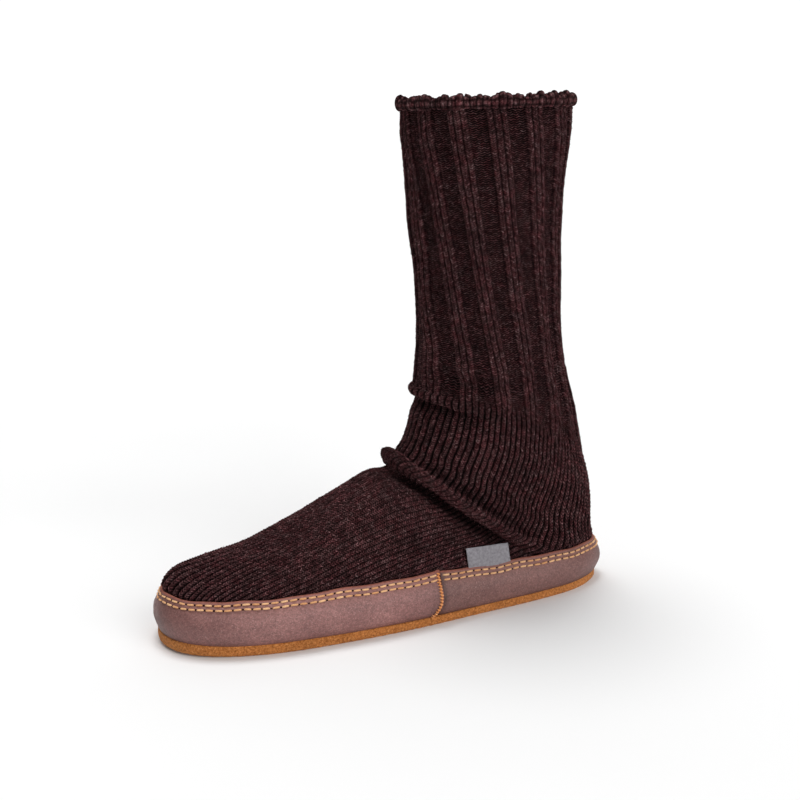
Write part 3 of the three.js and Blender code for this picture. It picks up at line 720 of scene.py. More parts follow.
class Joined:
    def __init__(self):
        self.v, self.q, self.t, self.n, self.a = [], [], [], 0, []

    def add(self, v, q=None, t=None, a=0.0):
        self.v.append(v)
        if q is not None and len(q):
            self.q.append(np.asarray(q) + self.n)
        if t is not None and len(t):
            self.t.append(np.asarray(t) + self.n)
        self.a.append(np.full(len(v), a))
        self.n += len(v)

    def make(self, name):
        return make_mesh(name, row(np.concatenate(self.v)), quads=np.concatenate(self.q) if self.q else None,
                         tris=np.concatenate(self.t) if self.t else None, attrs={"tone": np.concatenate(self.a)})


def line_on(P, fr_table, below):
    """A line on the outside of a band piece, a distance below its top edge, with normals."""
    z_top = P[len(profile_out) + 1]
    out_rows = P[:len(profile_out)]
    pts = np.empty((P.shape[1], 3))
    for j in range(P.shape[1]):
        prof = out_rows[::-1, j]
        run = np.concatenate([[0], np.cumsum(np.linalg.norm(np.diff(prof, axis=0), axis=1))]) + np.linalg.norm(prof[0] - z_top[j])
        for c3 in range(3):
            pts[j, c3] = np.interp(below, run, prof[:, c3])
    return pts, outward(pts)


def resample(p, n3, s_new):
    run = np.concatenate([[0], np.cumsum(np.linalg.norm(np.diff(p, axis=0), axis=1))])
    q = np.stack([np.interp(s_new, run, p[:, k]) for k in range(3)], 1)
    m = np.stack([np.interp(s_new, run, n3[:, k]) for k in range(3)], 1)
    size = np.linalg.norm(m, axis=1, keepdims=True)
    aside = np.stack([q[:, 0] - np.clip(q[:, 0], 50, 215), q[:, 1], 0 * q[:, 0]], 1)
    m = np.where(np.isfinite(size) & (size > 1e-6), m, aside)
    return q, m / np.linalg.norm(m, axis=1, keepdims=True)


threads, hole_shades = Joined(), Joined()
PITCH, LONG = 5.05, 3.9
for P, margin in ((PF, 1.9), (PR, 1.6)):
    for below in STITCH_ROWS:
        p, n = line_on(P, None, below)
        total = np.linalg.norm(np.diff(p, axis=0), axis=1).sum()
        count = int(round((total - 2 * margin) / PITCH))
        pitch = (total - 2 * margin) / count
        for k in range(count):
            mid = margin + (k + 0.5) * pitch + rng.normal(0, 0.10)
            ln = LONG * rng.uniform(0.94, 1.06)
            s = mid + np.linspace(-0.5, 0.5, 9) * ln
            q, m = resample(p, n, s)
            w = np.linspace(-1, 1, 9)
            lift = 0.34 * (1 - np.abs(w) ** 3.2) - 0.34 * np.abs(w) ** 6
            side = np.cross(m, np.gradient(q, axis=0))
            side /= np.linalg.norm(side, axis=1, keepdims=True)
            q = q + m * lift[:, None] + side * (0.10 * w * rng.normal(0.6, 0.5))[:, None]
            rad = 0.56 * (1 - 0.35 * np.abs(w) ** 4)
            v, f = strand(q, rad, 7, m, 0.85)
            threads.add(v, f, a=rng.uniform(0, 1))
            # a dark disc of painted shade in the needle hole between two stitches
            if k < count - 1:
                q, m = resample(p, n, np.array([mid + 0.5 * pitch - 0.35, mid + 0.5 * pitch + 0.35]))
                t = q[1] - q[0]
                t /= np.linalg.norm(t)
                b = np.cross(m[0], t)
                c0 = q.mean(0) + m[0] * 0.06
                ang8 = 2 * np.pi * np.arange(8) / 8
                ringv = c0 + 0.78 * np.cos(ang8)[:, None] * t + 0.55 * np.sin(ang8)[:, None] * b
                v = np.concatenate([ringv, (c0 - m[0] * 0.05 + m[0] * 0.10)[None]])
                hole_shades.add(v, None, np.array([[j8, (j8 + 1) % 8, 8] for j8 in range(8)]))

# whip stitching over the edge of the front piece at each side seam
for side in (1, -1):
    col = None
    for cand in (0, -1):
        if np.sign(PF[10, cand, 1]) == side:
            col = cand
    inner = 1 if col == 0 else -2
    edge_line = PF[1:len(profile_out) + 1, col]
    run = np.concatenate([[0], np.cumsum(np.linalg.norm(np.diff(edge_line, axis=0), axis=1))])
    s = np.linspace(0.3, run[-1] - 1.2, 60)
    e = np.stack([np.interp(s, run, edge_line[:, k]) for k in range(3)], 1)
    n = outward(e)
    # the thread that lies along the edge; its darker tone is painted shade under the loops
    curl = 0 * s
    e2 = e + n * 0.12 + np.array([1.0, 0, 0]) * (1.15 + 0.16 * np.sin(s * 2.3 + 1.0) + curl)[:, None]
    v, f = strand(e2, 0.50 * (1 + 0.22 * np.sin(s * 4.0)), 7, n, 0.8)
    threads.add(v, f, a=1.55)
    # loops that wrap over it
    for k in range(17):
        s0 = 0.8 + k * (run[-1] - 2.6) / 16
        q0 = np.array([np.interp(s0, run, edge_line[:, c3]) for c3 in range(3)])
        n0 = outward(q0[None])[0]
        upv = np.array([np.interp(s0 + 0.5, run, edge_line[:, c3]) for c3 in range(3)]) - q0
        upv /= np.linalg.norm(upv)
        fwd = np.array([1.0, 0, 0])
        curl0 = 0.0
        w = np.linspace(0, 1, 8)
        path = q0 + fwd * (0.15 + 0.25 * rng.random() + curl0 + (1.7 + 0.6 * rng.random()) * w)[:, None] + upv * (0.9 * (w - 0.5))[:, None] + n0 * (0.0 + 0.72 * np.sin(np.pi * w))[:, None]
        v, f = strand(path, 0.42 * (1 - 0.4 * np.abs(2 * w - 1) ** 3), 6, np.tile(n0, (8, 1)))
        threads.add(v, f, a=1.1 + 0.25 * rng.random())

stitches = threads.make("thread_stitches")
hole_shade_sheet = hole_shades.make("stitch_hole_painted_shade")

# ---------------------------------------------------------------- the sole
def sole_piece():
    n = 520
    k = np.arange(n)
    half = n // 2
    kk = np.where(k <= half, k, n - k)
    t = 0.5 - 0.5 * np.cos(np.pi * kk / half)
    sgn = np.where(k <= half, 1.0, -1.0)
    def loop(e, z):
        e = e - 1.1 - 1.3 * smooth(0.84, 1.0, t)
        x = HEEL_X + e + (LENGTH - 2 * e) * t
        return np.stack([x, sgn * half_width(t, e, sgn), z * (1 + 1.3 / SOLE_THICK * smooth(120, 235, x))], 1)
    levels = [(SOLE_INSET + 9, SOLE_THICK), (SOLE_INSET + 2.5, SOLE_THICK), (SOLE_INSET + 0.55, SOLE_THICK - 0.02), (SOLE_INSET + 0.12, SOLE_THICK - 0.35),
              (SOLE_INSET, SOLE_THICK - 1.0), (SOLE_INSET - 0.12, 3.0), (SOLE_INSET - 0.14, 2.0), (SOLE_INSET - 0.08, 1.1), (SOLE_INSET + 0.1, 0.5),
              (SOLE_INSET + 0.4, 0.15), (SOLE_INSET + 0.9, 0.02), (SOLE_INSET + 2.4, 0.0), (SOLE_INSET + 9, 0.0)]
    L = np.array([loop(e, z) for e, z in levels])
    mid = L[3:10]
    rough = 0.10 * waves(mid, 31, 4.0) + 0.09 * waves(mid, 32, 2.0)
    cen = np.array([135.0, 0, 0])
    d = mid - cen
    d[..., 2] = 0
    d /= np.linalg.norm(d, axis=-1, keepdims=True)
    L[3:10] = mid + d * rough[..., None]
    v = L.reshape(-1, 3)
    q = grid_quads(len(levels), n, True)
    caps = []
    for base, flip in ((0, False), ((len(levels) - 1) * n, True)):
        for j in range(half):
            a, b, c2, d2 = j, j + 1, (n - j) % n, n - j - 1
            f = [[a, b, d2, c2]] if 0 < j < half - 1 else ([[a, b, d2]] if j == 0 else [[a, b, c2]])
            for face in f:
                caps.append([base + x for x in (face if flip else face[::-1])])
    cq = [f for f in caps if len(f) == 4]
    ct = [f for f in caps if len(f) == 3]
    ob = make_mesh("suede_sole", row(v), quads=np.concatenate([q, np.array(cq)]), tris=np.array(ct))
    fix_normals(ob)
    return ob


sole = sole_piece()

# ---------------------------------------------------------------- the padded insole
def insole_piece():
    n, half = 240, 120
    k = np.arange(n)
    kk = np.where(k <= half, k, n - k)
    t = 0.5 - 0.5 * np.cos(np.pi * kk / half)
    sgn = np.where(k <= half, 1.0, -1.0)
    tuck = lambda z: 44 * (1 - (1 - ((WIDEST_Z - z) / (WIDEST_Z - BOTTOM_Z)) ** 3) ** (1 / 3))
    def loop(z, more):
        e = inset_at(z) + tuck(z) + 3.3 + more
        return np.stack([HEEL_X + e + (LENGTH - 2 * e) * t, sgn * half_width(t, e, sgn), np.full(n, z)], 1)
    top_z = BAND_FLOOR + 6
    base = loop(BAND_FLOOR, 2.4)
    side = [loop(BAND_FLOOR + 0.6, 1.7), loop(BAND_FLOOR + 2.4, 1.3), loop(top_z - 1.9, 1.5), loop(top_z - 0.9, 1.9), loop(top_z - 0.3, 2.9), loop(top_z, 4.6)]
    rim = side[-1]
    spine = np.stack([np.clip(rim[:, 0], 30, 240), 0 * rim[:, 1], rim[:, 2]], 1)
    inner = []
    for w in (0.12, 0.28, 0.48, 0.7, 0.9):
        p = rim * (1 - w) + spine * w
        crown = 0.45 * math.sin(math.pi * min(1, w * 0.9)) + 0.25 * waves(p, 41, 40.0)
        p[:, 2] = top_z + crown - 1.1 * np.exp(-((p[:, 0] - 40) / 26) ** 2) * w
        inner.append(p)
    L = np.array([base] + side + inner)
    v = L.reshape(-1, 3)
    q = grid_quads(len(L), n, True)
    cap = []
    for b0, flip in ((0, True), ((len(L) - 1) * n, False)):
        for j in range(half):
            a, b, c2, d2 = j, j + 1, (n - j) % n, n - j - 1
            f = [a, b, d2, c2] if 0 < j < half - 1 else ([a, b, d2] if j == 0 else [a, b, c2])
            cap.append([b0 + x for x in (f if flip else f[::-1])])
    ob = make_mesh("padded_insole", row(v), quads=np.concatenate([q, np.array([f for f in cap if len(f) == 4])]), tris=np.array([f for f in cap if len(f) == 3]))
    fix_normals(ob)
    return ob


insole = insole_piece()

# ---------------------------------------------------------------- the bare label
def label_piece():
    cols, rows_n = 44, 26
    x0, x1, tall = 72.2, 99.6, 11.2
    uu, ww = np.meshgrid(np.linspace(0, 1, cols), np.linspace(-0.10, 1, rows_n))
    x = x1 + (x0 - x1) * uu + 1.4 * ww
    z = band_top(x) + tall * ww * (1 - 0.035 * uu)
    o = np.stack([x, 0 * x, z], -1)
    d = np.zeros_like(o)
    d[..., 1] = 1
    p = o + d * cast(o, d, 90.0)[..., None]
    n = outward(p)
    n[..., 0] *= 0.3
    n /= np.linalg.norm(n, axis=-1, keepdims=True)
    stand = 1.05 + 1.0 * smooth(0.0, 1.0, ww) + 0.4 * np.sin(uu * 3.1) * np.clip(ww, 0, 1)
    p = p + n * stand[..., None]
    front = p + n * 0.45
    sheet = np.stack([p, front])
    v = sheet.reshape(-1, 3)
    size = cols * rows_n
    q0 = grid_quads(rows_n, cols, False)
    q = [q0, q0[:, ::-1] + size]
    rim = [r * cols for r in range(rows_n)] + [(rows_n - 1) * cols + c2 for c2 in range(1, cols)] + [r * cols + cols - 1 for r in range(rows_n - 2, -1, -1)] + [c2 for c2 in range(cols - 2, 0, -1)]
    rim = np.array(rim)
    nx = np.roll(rim, -1)
    q.append(np.stack([rim, nx, nx + size, rim + size], 1))
    q = np.concatenate(q)
    flat = np.stack([uu * 27.3, ww * tall], -1).reshape(-1, 2)
    flat = np.concatenate([flat, flat])
    ob = make_mesh("label", row(v), quads=q, uv={"weave": (flat[q], None)})
    fix_normals(ob)
    return ob


label = label_piece()

# ---------------------------------------------------------------- loose wool fibres
def fuzz_piece(count):
    f = rng.integers(0, OUTER.shape[0] - 1, count * 2)
    g = rng.integers(0, COLS, count * 2)
    p = OUTER[f, g]
    ok = p[:, 2] > band_top(p[:, 0]) + 0.8
    f, g, p = f[ok][:count], g[ok][:count], p[ok][:count]
    nn = OUTER_N[f, g]
    m = len(p)
    rand = rng.normal(size=(m, 3))
    tang = rand - nn * (rand * nn).sum(1, keepdims=True)
    tang /= np.linalg.norm(tang, axis=1, keepdims=True)
    ln = rng.gamma(2.6, 0.34, m).clip(0.35, 2.4)
    rise = rng.uniform(0.2, 0.75, m)
    bend = rng.normal(0, 0.45, (m, 3))
    seg = 3
    pts = np.array([p + nn * (ln * rise * np.sin(w * 1.7))[:, None] + tang * (ln * w * 0.85)[:, None] + bend * (ln * w * w * 0.5)[:, None] for w in np.linspace(0, 1, seg + 1)])
    side = np.cross(tang, nn)
    wid = rng.uniform(0.025, 0.045, m)
    v = np.empty((m, seg + 1, 2, 3))
    for k in range(seg + 1):
        taper = 1 - 0.7 * k / seg
        v[:, k, 0] = pts[k] - side * (wid * taper)[:, None]
        v[:, k, 1] = pts[k] + side * (wid * taper)[:, None]
    base = np.arange(m) * (seg + 1) * 2
    q = np.concatenate([np.stack([base + 2 * k, base + 2 * k + 1, base + 2 * k + 3, base + 2 * k + 2], 1) for k in range(seg)])
    return make_mesh("wool_fibres", row(v.reshape(-1, 3)), quads=q, attrs={"tone": np.repeat(rng.random(m), (seg + 1) * 2)})


fuzz = fuzz_piece(15000)

# ---------------------------------------------------------------- materials
class Tree:
    def __init__(self, name):
        self.mat = bpy.data.materials.new(name)
        self.mat.use_nodes = True
        self.nt = self.mat.node_tree
        self.nt.nodes.clear()
        self.out = self.nt.nodes.new("ShaderNodeOutputMaterial")
        self.bsdf = self.nt.nodes.new("ShaderNodeBsdfPrincipled")
        self.nt.links.new(self.bsdf.outputs[0], self.out.inputs[0])

    def link(self, a, b):
        self.nt.links.new(a, b)

    def put(self, sock, v):
        if hasattr(v, "is_output") or isinstance(v, bpy.types.NodeSocket):
            self.link(v, sock)
        else:
            sock.default_value = v

    def m(self, op, a, b=None, c=None, clamp=False):
        n = self.nt.nodes.new("ShaderNodeMath")
        n.operation = op
        n.use_clamp = clamp
        for k, v in enumerate((a, b, c)):
            if v is not None:
                self.put(n.inputs[k], v)
        return n.outputs[0]

    def noise(self, vec, scale, detail=2.0, rough=0.5, distort=0.0):
        n = self.nt.nodes.new("ShaderNodeTexNoise")
        self.link(vec, n.inputs["Vector"])
        n.inputs["Scale"].default_value = scale
        n.inputs["Detail"].default_value = detail
        n.inputs["Roughness"].default_value = rough
        n.inputs["Distortion"].default_value = distort
        return n.outputs["Fac"]

    def voronoi(self, vec, scale, feature="F1", out="Distance"):
        n = self.nt.nodes.new("ShaderNodeTexVoronoi")
        n.feature = feature
        self.link(vec, n.inputs["Vector"])
        n.inputs["Scale"].default_value = scale
        return n.outputs[out]

    def coords(self):
        return self.nt.nodes.new("ShaderNodeTexCoord").outputs["Object"]

    def uv(self, name):
        n = self.nt.nodes.new("ShaderNodeUVMap")
        n.uv_map = name
        s = self.nt.nodes.new("ShaderNodeSeparateXYZ")
        self.link(n.outputs[0], s.inputs[0])
        return s.outputs[0], s.outputs[1], n.outputs[0]

    def attr(self, name):
        n = self.nt.nodes.new("ShaderNodeAttribute")
        n.attribute_name = name
        return n.outputs["Fac"]

    def stretch(self, vec, x, y, z):
        n = self.nt.nodes.new("ShaderNodeMapping")
        self.link(vec, n.inputs["Vector"])
        n.inputs["Scale"].default_value = (x, y, z)
        return n.outputs[0]

    def ramp(self, fac, stops):
        n = self.nt.nodes.new("ShaderNodeValToRGB")
        self.link(fac, n.inputs[0])
        el = n.color_ramp.elements
        while len(el) > len(stops):
            el.remove(el[-1])
        while len(el) < len(stops):
            el.new(0.5)
        for e, (pos_, col) in zip(el, stops):
            e.position = pos_
            e.color = tuple(col) + ((1.0,) if len(col) == 3 else ())
        return n.outputs[0]

    def mix(self, fac, a, b, kind="MIX"):
        n = self.nt.nodes.new("ShaderNodeMix")
        n.data_type = "RGBA"
        n.blend_type = kind
        self.put(n.inputs[0], fac)
        for sock, v in ((n.inputs[6], a), (n.inputs[7], b)):
            if isinstance(v, tuple):
                sock.default_value = v + ((1.0,) if len(v) == 3 else ())
            else:
                self.link(v, sock)
        return n.outputs[2]

    def lerp(self, fac, a, b):
        n = self.nt.nodes.new("ShaderNodeMix")
        n.data_type = "FLOAT"
        self.put(n.inputs[0], fac)
        self.put(n.inputs[2], a)
        self.put(n.inputs[3], b)
        return n.outputs[0]

    def bump(self, height, distance, strength=1.0, normal=None):
        n = self.nt.nodes.new("ShaderNodeBump")
        n.inputs["Strength"].default_value = strength
        n.inputs["Distance"].default_value = distance
        self.link(height, n.inputs["Height"])
        if normal is not None:
            self.link(normal, n.inputs["Normal"])
        return n.outputs[0]

    def grey(self, v):
        n = self.nt.nodes.new("ShaderNodeCombineColor")
        for k in range(3):
            self.link(v, n.inputs[k])
        return n.outputs[0]


def srgb(r, g, b):
    return tuple((c / 255 / 12.92) if c / 255 <= 0.04045 else ((c / 255 + 0.055) / 1.055) ** 2.4 for c in (r, g, b))


def wool():
    t = Tree("knit_wool")
    u, v, _ = t.uv("knit")
    obj = t.coords()
    pur = t.attr("purl")
    fx = t.m("FRACT", t.m("ADD", u, t.m("MULTIPLY", t.m("SUBTRACT", t.noise(obj, 330, 1.0), 0.5), 0.3)))
    away = t.m("MULTIPLY", t.m("ABSOLUTE", t.m("SUBTRACT", fx, 0.5)), 2.0)
    vv = t.m("ADD", v, t.m("MULTIPLY", t.m("SUBTRACT", t.noise(obj, 520, 1.0), 0.5), 0.5))
    yarn = t.m("ADD", 0.5, t.m("MULTIPLY", t.m("COSINE", t.m("MULTIPLY", vv, 2 * math.pi)), 0.5))
    soft = t.attr("soft")
    col = t.m("POWER", t.m("MAXIMUM", t.m("SINE", t.m("MULTIPLY", fx, math.pi)), 0.0001), t.lerp(soft, 1.15, 0.4))
    split = t.m("SUBTRACT", 1.0, t.m("MULTIPLY", 0.5, t.m("POWER", t.m("SUBTRACT", 1.0, away), 5.0)))
    hk = t.m("MULTIPLY", t.m("MULTIPLY", col, split), t.m("ADD", 0.32, t.m("MULTIPLY", yarn, 0.68)))
    hp = t.m("MULTIPLY", yarn, 0.8)
    h = t.lerp(pur, hk, hp)
    fibre = t.noise(obj, 1500, 3.0, 0.65)
    tuft = t.noise(obj, 620, 2.0, 0.6)
    height = t.m("ADD", h, t.m("ADD", t.m("MULTIPLY", fibre, 0.6), t.m("MULTIPLY", tuft, 0.5)))
    t.link(t.bump(height, 0.0006, 1.0), t.bsdf.inputs["Normal"])
    # every stitch takes its own shade of the heathered yarn
    cellv = t.nt.nodes.new("ShaderNodeCombineXYZ")
    t.link(t.m("FLOOR", t.m("MULTIPLY", u, 2.0)), cellv.inputs[0])
    t.link(t.m("FLOOR", t.m("ADD", v, 0.5)), cellv.inputs[1])
    white = t.nt.nodes.new("ShaderNodeTexWhiteNoise")
    white.noise_dimensions = "2D"
    t.link(cellv.outputs[0], white.inputs["Vector"])
    stitch = white.outputs["Value"]
    fleck = t.noise(obj, 1000, 4.0, 0.75)
    mixv = t.m("ADD", t.m("MULTIPLY", fleck, 0.84), t.m("MULTIPLY", stitch, 0.16))
    heather = t.ramp(mixv, [(0.28, srgb(26, 14, 14)), (0.44, srgb(54, 33, 34)), (0.54, srgb(78, 52, 53)), (0.64, srgb(106, 80, 81)), (0.76, srgb(156, 134, 133))])
    red = t.ramp(t.noise(obj, 260, 3.0, 0.65), [(0.42, (0.96, 1.0, 1.0)), (0.66, (1.22, 0.86, 0.92))])
    base = t.mix(1.0, heather, red, "MULTIPLY")
    broad = t.ramp(t.noise(obj, 34, 2.0, 0.5), [(0.3, (0.88, 0.88, 0.88)), (0.7, (1.12, 1.10, 1.10))])
    base = t.mix(1.0, base, broad, "MULTIPLY")
    # painted shade in the grooves between wales, between stitches and between the reverse bars
    painted_groove_shade = t.lerp(pur, t.m("ADD", t.lerp(soft, 0.0, 0.07), t.m("MULTIPLY", t.m("POWER", hk, 1.4), t.lerp(soft, 2.15, 1.7))), t.m("MULTIPLY", t.m("POWER", hp, 1.8), 1.75))
    base = t.mix(1.0, base, t.ramp(t.noise(t.coords(), 95, 3.0, 0.68), [(0.32, (0.82, 0.82, 0.83)), (0.68, (1.20, 1.17, 1.16))]), "MULTIPLY")
    # painted shade in the yarn grooves and fold troughs, painted highlight on the fold crests
    base = t.mix(1.0, base, t.grey(t.m("MULTIPLY", painted_groove_shade, t.m("SUBTRACT", 1.0, t.attr("shade")))), "MULTIPLY")
    t.link(base, t.bsdf.inputs["Base Color"])
    t.bsdf.inputs["Roughness"].default_value = 0.95
    t.bsdf.inputs["Specular IOR Level"].default_value = 0.02
    t.bsdf.inputs["Sheen Weight"].default_value = 0.015
    t.bsdf.inputs["Sheen Roughness"].default_value = 0.5
    t.bsdf.inputs["Sheen Tint"].default_value = (0.62, 0.5, 0.48, 1.0)
    return t.mat


def fibre_mat():
    t = Tree("wool_fibre")
    tone = t.attr("tone")
    obj = t.coords()
    base = t.ramp(t.m("ADD", t.m("MULTIPLY", tone, 0.85), t.m("MULTIPLY", t.noise(obj, 300, 1.0), 0.15)),
                  [(0.0, srgb(30, 17, 17)), (0.5, srgb(54, 33, 33)), (0.8, srgb(84, 56, 56)), (1.0, srgb(134, 110, 108))])
    t.link(base, t.bsdf.inputs["Base Color"])
    t.bsdf.inputs["Roughness"].default_value = 0.9
    t.bsdf.inputs["Specular IOR Level"].default_value = 0.2
    return t.mat


def leather(name, tone):
    t = Tree(name)
    obj = t.coords()
    raw = t.attr("raw")
    high = t.attr("high")
    a, b = tone
    cloud = t.noise(obj, 46, 4.0, 0.6)
    base = t.ramp(cloud, [(0.30, a), (0.70, b)])
    streak = t.noise(obj, 620, 4.0, 0.7)
    base = t.mix(1.0, base, t.ramp(streak, [(0.38, (0.82, 0.81, 0.80)), (0.62, (1.18, 1.17, 1.16))]), "MULTIPLY")
    base = t.mix(1.0, base, t.ramp(t.noise(obj, 1200, 4.0, 0.75), [(0.37, (0.74, 0.73, 0.73)), (0.63, (1.28, 1.25, 1.25))]), "MULTIPLY")
    fine = t.voronoi(obj, 2600)
    speck = t.ramp(t.noise(obj, 1500, 2.0, 0.7), [(0.57, (0.0, 0.0, 0.0)), (0.68, (1.0, 1.0, 1.0))])
    base = t.mix(t.m("MULTIPLY", speck, 0.30), base, srgb(206, 168, 162))
    # the top margin is warmer, the bottom edge has painted shade, the cut edge raw
    margin = t.ramp(high, [(0.62, (0.0, 0.0, 0.0)), (0.93, (1.0, 1.0, 1.0))])
    base = t.mix(t.m("MULTIPLY", margin, 0.45), base, srgb(136, 88, 78))
    # painted highlight on the front piece ahead of the seam
    base = t.mix(t.attr("end"), base, (1.17, 1.17, 1.17), "MULTIPLY")
    # painted shade by the seam ends, deepest low on the band
    base = t.mix(t.m("MULTIPLY", t.attr("near"), 0.46), base, (0.0, 0.0, 0.0))
    sep = t.nt.nodes.new("ShaderNodeSeparateXYZ")
    t.link(obj, sep.inputs[0])
    # painted shade towards the heel and the toe
    painted_end_shade = t.ramp(t.m("MULTIPLY", t.m("ADD", sep.outputs[0], 0.14), 3.571), [(0.0, (0.80, 0.76, 0.75)), (0.20, (1.0, 0.99, 0.99)), (0.84, (1.0, 1.0, 1.0)), (0.93, (0.90, 0.87, 0.87)), (0.965, (0.74, 0.70, 0.69)), (0.99, (0.60, 0.56, 0.54))])
    base = t.mix(1.0, base, painted_end_shade, "MULTIPLY")
    # painted shade on the rear piece where it runs under the front piece at the seam
    base = t.mix(t.m("MULTIPLY", t.attr("gap"), 0.75), base, srgb(48, 27, 24))
    base = t.mix(t.m("MULTIPLY", t.attr("rim"), 0.75), base, srgb(150, 92, 78))
    # painted shade along the bottom edge
    painted_low_shade = t.ramp(high, [(0.0, (0.74, 0.72, 0.72)), (0.16, (1.0, 1.0, 1.0))])
    base = t.mix(1.0, base, painted_low_shade, "MULTIPLY")
    rawcol = t.ramp(t.noise(obj, 700, 3.0, 0.7), [(0.3, srgb(116, 62, 50)), (0.7, srgb(160, 96, 80))])
    base = t.mix(raw, base, rawcol)
    t.link(base, t.bsdf.inputs["Base Color"])
    rough = t.m("ADD", 0.40, t.m("MULTIPLY", t.noise(obj, 160, 3.0, 0.6), 0.22))
    rough = t.lerp(raw, rough, 0.9)
    t.link(rough, t.bsdf.inputs["Roughness"])
    height = t.m("ADD", t.m("MULTIPLY", fine, 0.5), t.m("ADD", t.m("MULTIPLY", streak, 0.6), t.m("MULTIPLY", t.noise(obj, 240, 3.0, 0.6), 0.9)))
    t.link(t.bump(height, 0.00016, 1.0), t.bsdf.inputs["Normal"])
    t.bsdf.inputs["Specular IOR Level"].default_value = 0.42
    return t.mat


def suede():
    t = Tree("suede")
    obj = t.coords()
    nap = t.noise(obj, 950, 4.0, 0.72)
    grain = t.noise(obj, 2300, 2.0, 0.7)
    base = t.ramp(nap, [(0.28, srgb(114, 63, 28)), (0.46, srgb(178, 110, 57)), (0.60, srgb(209, 137, 76)), (0.76, srgb(238, 180, 116))])
    broad = t.ramp(t.noise(obj, 60, 3.0, 0.6), [(0.3, (0.86, 0.86, 0.86)), (0.7, (1.08, 1.06, 1.04))])
    base = t.mix(1.0, base, broad, "MULTIPLY")
    t.link(base, t.bsdf.inputs["Base Color"])
    t.link(t.bump(t.m("ADD", nap, t.m("MULTIPLY", grain, 0.6)), 0.0006, 1.0), t.bsdf.inputs["Normal"])
    t.bsdf.inputs["Roughness"].default_value = 0.95
    t.bsdf.inputs["Specular IOR Level"].default_value = 0.12
    t.bsdf.inputs["Sheen Weight"].default_value = 0.25
    t.bsdf.inputs["Sheen Roughness"].default_value = 0.45
    t.bsdf.inputs["Sheen Tint"].default_value = (0.95, 0.72, 0.45, 1.0)
    return t.mat


def thread_mat():
    t = Tree("thread")
    obj = t.coords()
    tone = t.attr("tone")
    # the darkest tones are painted shade, for the edge thread lying under the whip loops
    base = t.ramp(t.m("MULTIPLY", tone, 0.5), [(0.0, srgb(218, 158, 108)), (0.5, srgb(244, 196, 148)), (0.56, srgb(246, 180, 122)), (0.70, srgb(228, 146, 86)), (0.97, srgb(150, 84, 42))])
    ply = t.noise(t.stretch(obj, 1, 1, 1), 2600, 2.0, 0.6)
    base = t.mix(1.0, base, t.ramp(ply, [(0.3, (0.72, 0.70, 0.68)), (0.7, (1.14, 1.12, 1.1))]), "MULTIPLY")
    t.link(base, t.bsdf.inputs["Base Color"])
    t.link(t.bump(ply, 0.0002, 1.0), t.bsdf.inputs["Normal"])
    t.bsdf.inputs["Roughness"].default_value = 0.6
    t.bsdf.inputs["Specular IOR Level"].default_value = 0.3
    return t.mat


# painted shade for the needle holes between stitches
def hole_shade_mat():
    t = Tree("needle_hole_painted_shade")
    obj = t.coords()
    t.link(t.ramp(t.noise(obj, 900, 2.0), [(0.3, srgb(38, 19, 15)), (0.7, srgb(62, 35, 28))]), t.bsdf.inputs["Base Color"])
    t.bsdf.inputs["Roughness"].default_value = 1.0
    t.bsdf.inputs["Specular IOR Level"].default_value = 0.05
    return t.mat


def label_mat():
    t = Tree("label_cloth")
    x, y, _ = t.uv("weave")
    obj = t.coords()
    wx = t.m("SINE", t.m("MULTIPLY", x, 2 * math.pi / 0.42))
    wy = t.m("SINE", t.m("MULTIPLY", y, 2 * math.pi / 0.36))
    weave = t.m("MULTIPLY", wx, wy)
    base = t.ramp(t.noise(obj, 700, 3.0, 0.6), [(0.3, srgb(146, 143, 148)), (0.7, srgb(184, 180, 187))])
    shade = t.m("ADD", 0.94, t.m("MULTIPLY", weave, 0.07))
    base = t.mix(1.0, base, t.grey(shade), "MULTIPLY")
    t.link(base, t.bsdf.inputs["Base Color"])
    t.link(t.bump(weave, 0.00012, 1.0), t.bsdf.inputs["Normal"])
    t.bsdf.inputs["Roughness"].default_value = 0.7
    t.bsdf.inputs["Specular IOR Level"].default_value = 0.25
    return t.mat


def felt():
    t = Tree("footbed")
    obj = t.coords()
    n1 = t.noise(obj, 900, 4.0, 0.7)
    base = t.ramp(n1, [(0.3, srgb(58, 42, 36)), (0.55, srgb(88, 66, 57)), (0.75, srgb(120, 94, 82))])
    t.link(base, t.bsdf.inputs["Base Color"])
    t.link(t.bump(n1, 0.0006, 1.0), t.bsdf.inputs["Normal"])
    t.bsdf.inputs["Roughness"].default_value = 0.97
    t.bsdf.inputs["Specular IOR Level"].default_value = 0.1
    t.bsdf.inputs["Sheen Weight"].default_value = 0.2
    return t.mat


WOOL = wool()
for ob, mat, slot_, nodes in (
    (sock_foot, WOOL, "knit_wool", ["sock"]), (sock_ankle, WOOL, "knit_wool", ["sock"]), (sock_leg, WOOL, "knit_wool", ["sock"]), (lining, WOOL, "knit_wool", ["sock"]), (fuzz, fibre_mat(), "knit_wool", []),
    (band_front, leather("band_leather_front", (srgb(115, 79, 76), srgb(142, 101, 97))), "band_leather", ["band_front"]),
    (band_rear, leather("band_leather_rear", (srgb(107, 74, 70), srgb(130, 93, 88))), "band_leather", ["band_rear"]),
    (stitches, thread_mat(), "band_leather", []), (hole_shade_sheet, hole_shade_mat(), "band_leather", []),
    (sole, suede(), "suede", ["outsole"]), (insole, felt(), "footbed", ["insole"]), (label, label_mat(), "label_cloth", ["label_tab"]),
):
    ob.data.materials.append(mat)
    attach(ob, "root")
    if nodes:
        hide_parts(*nodes)

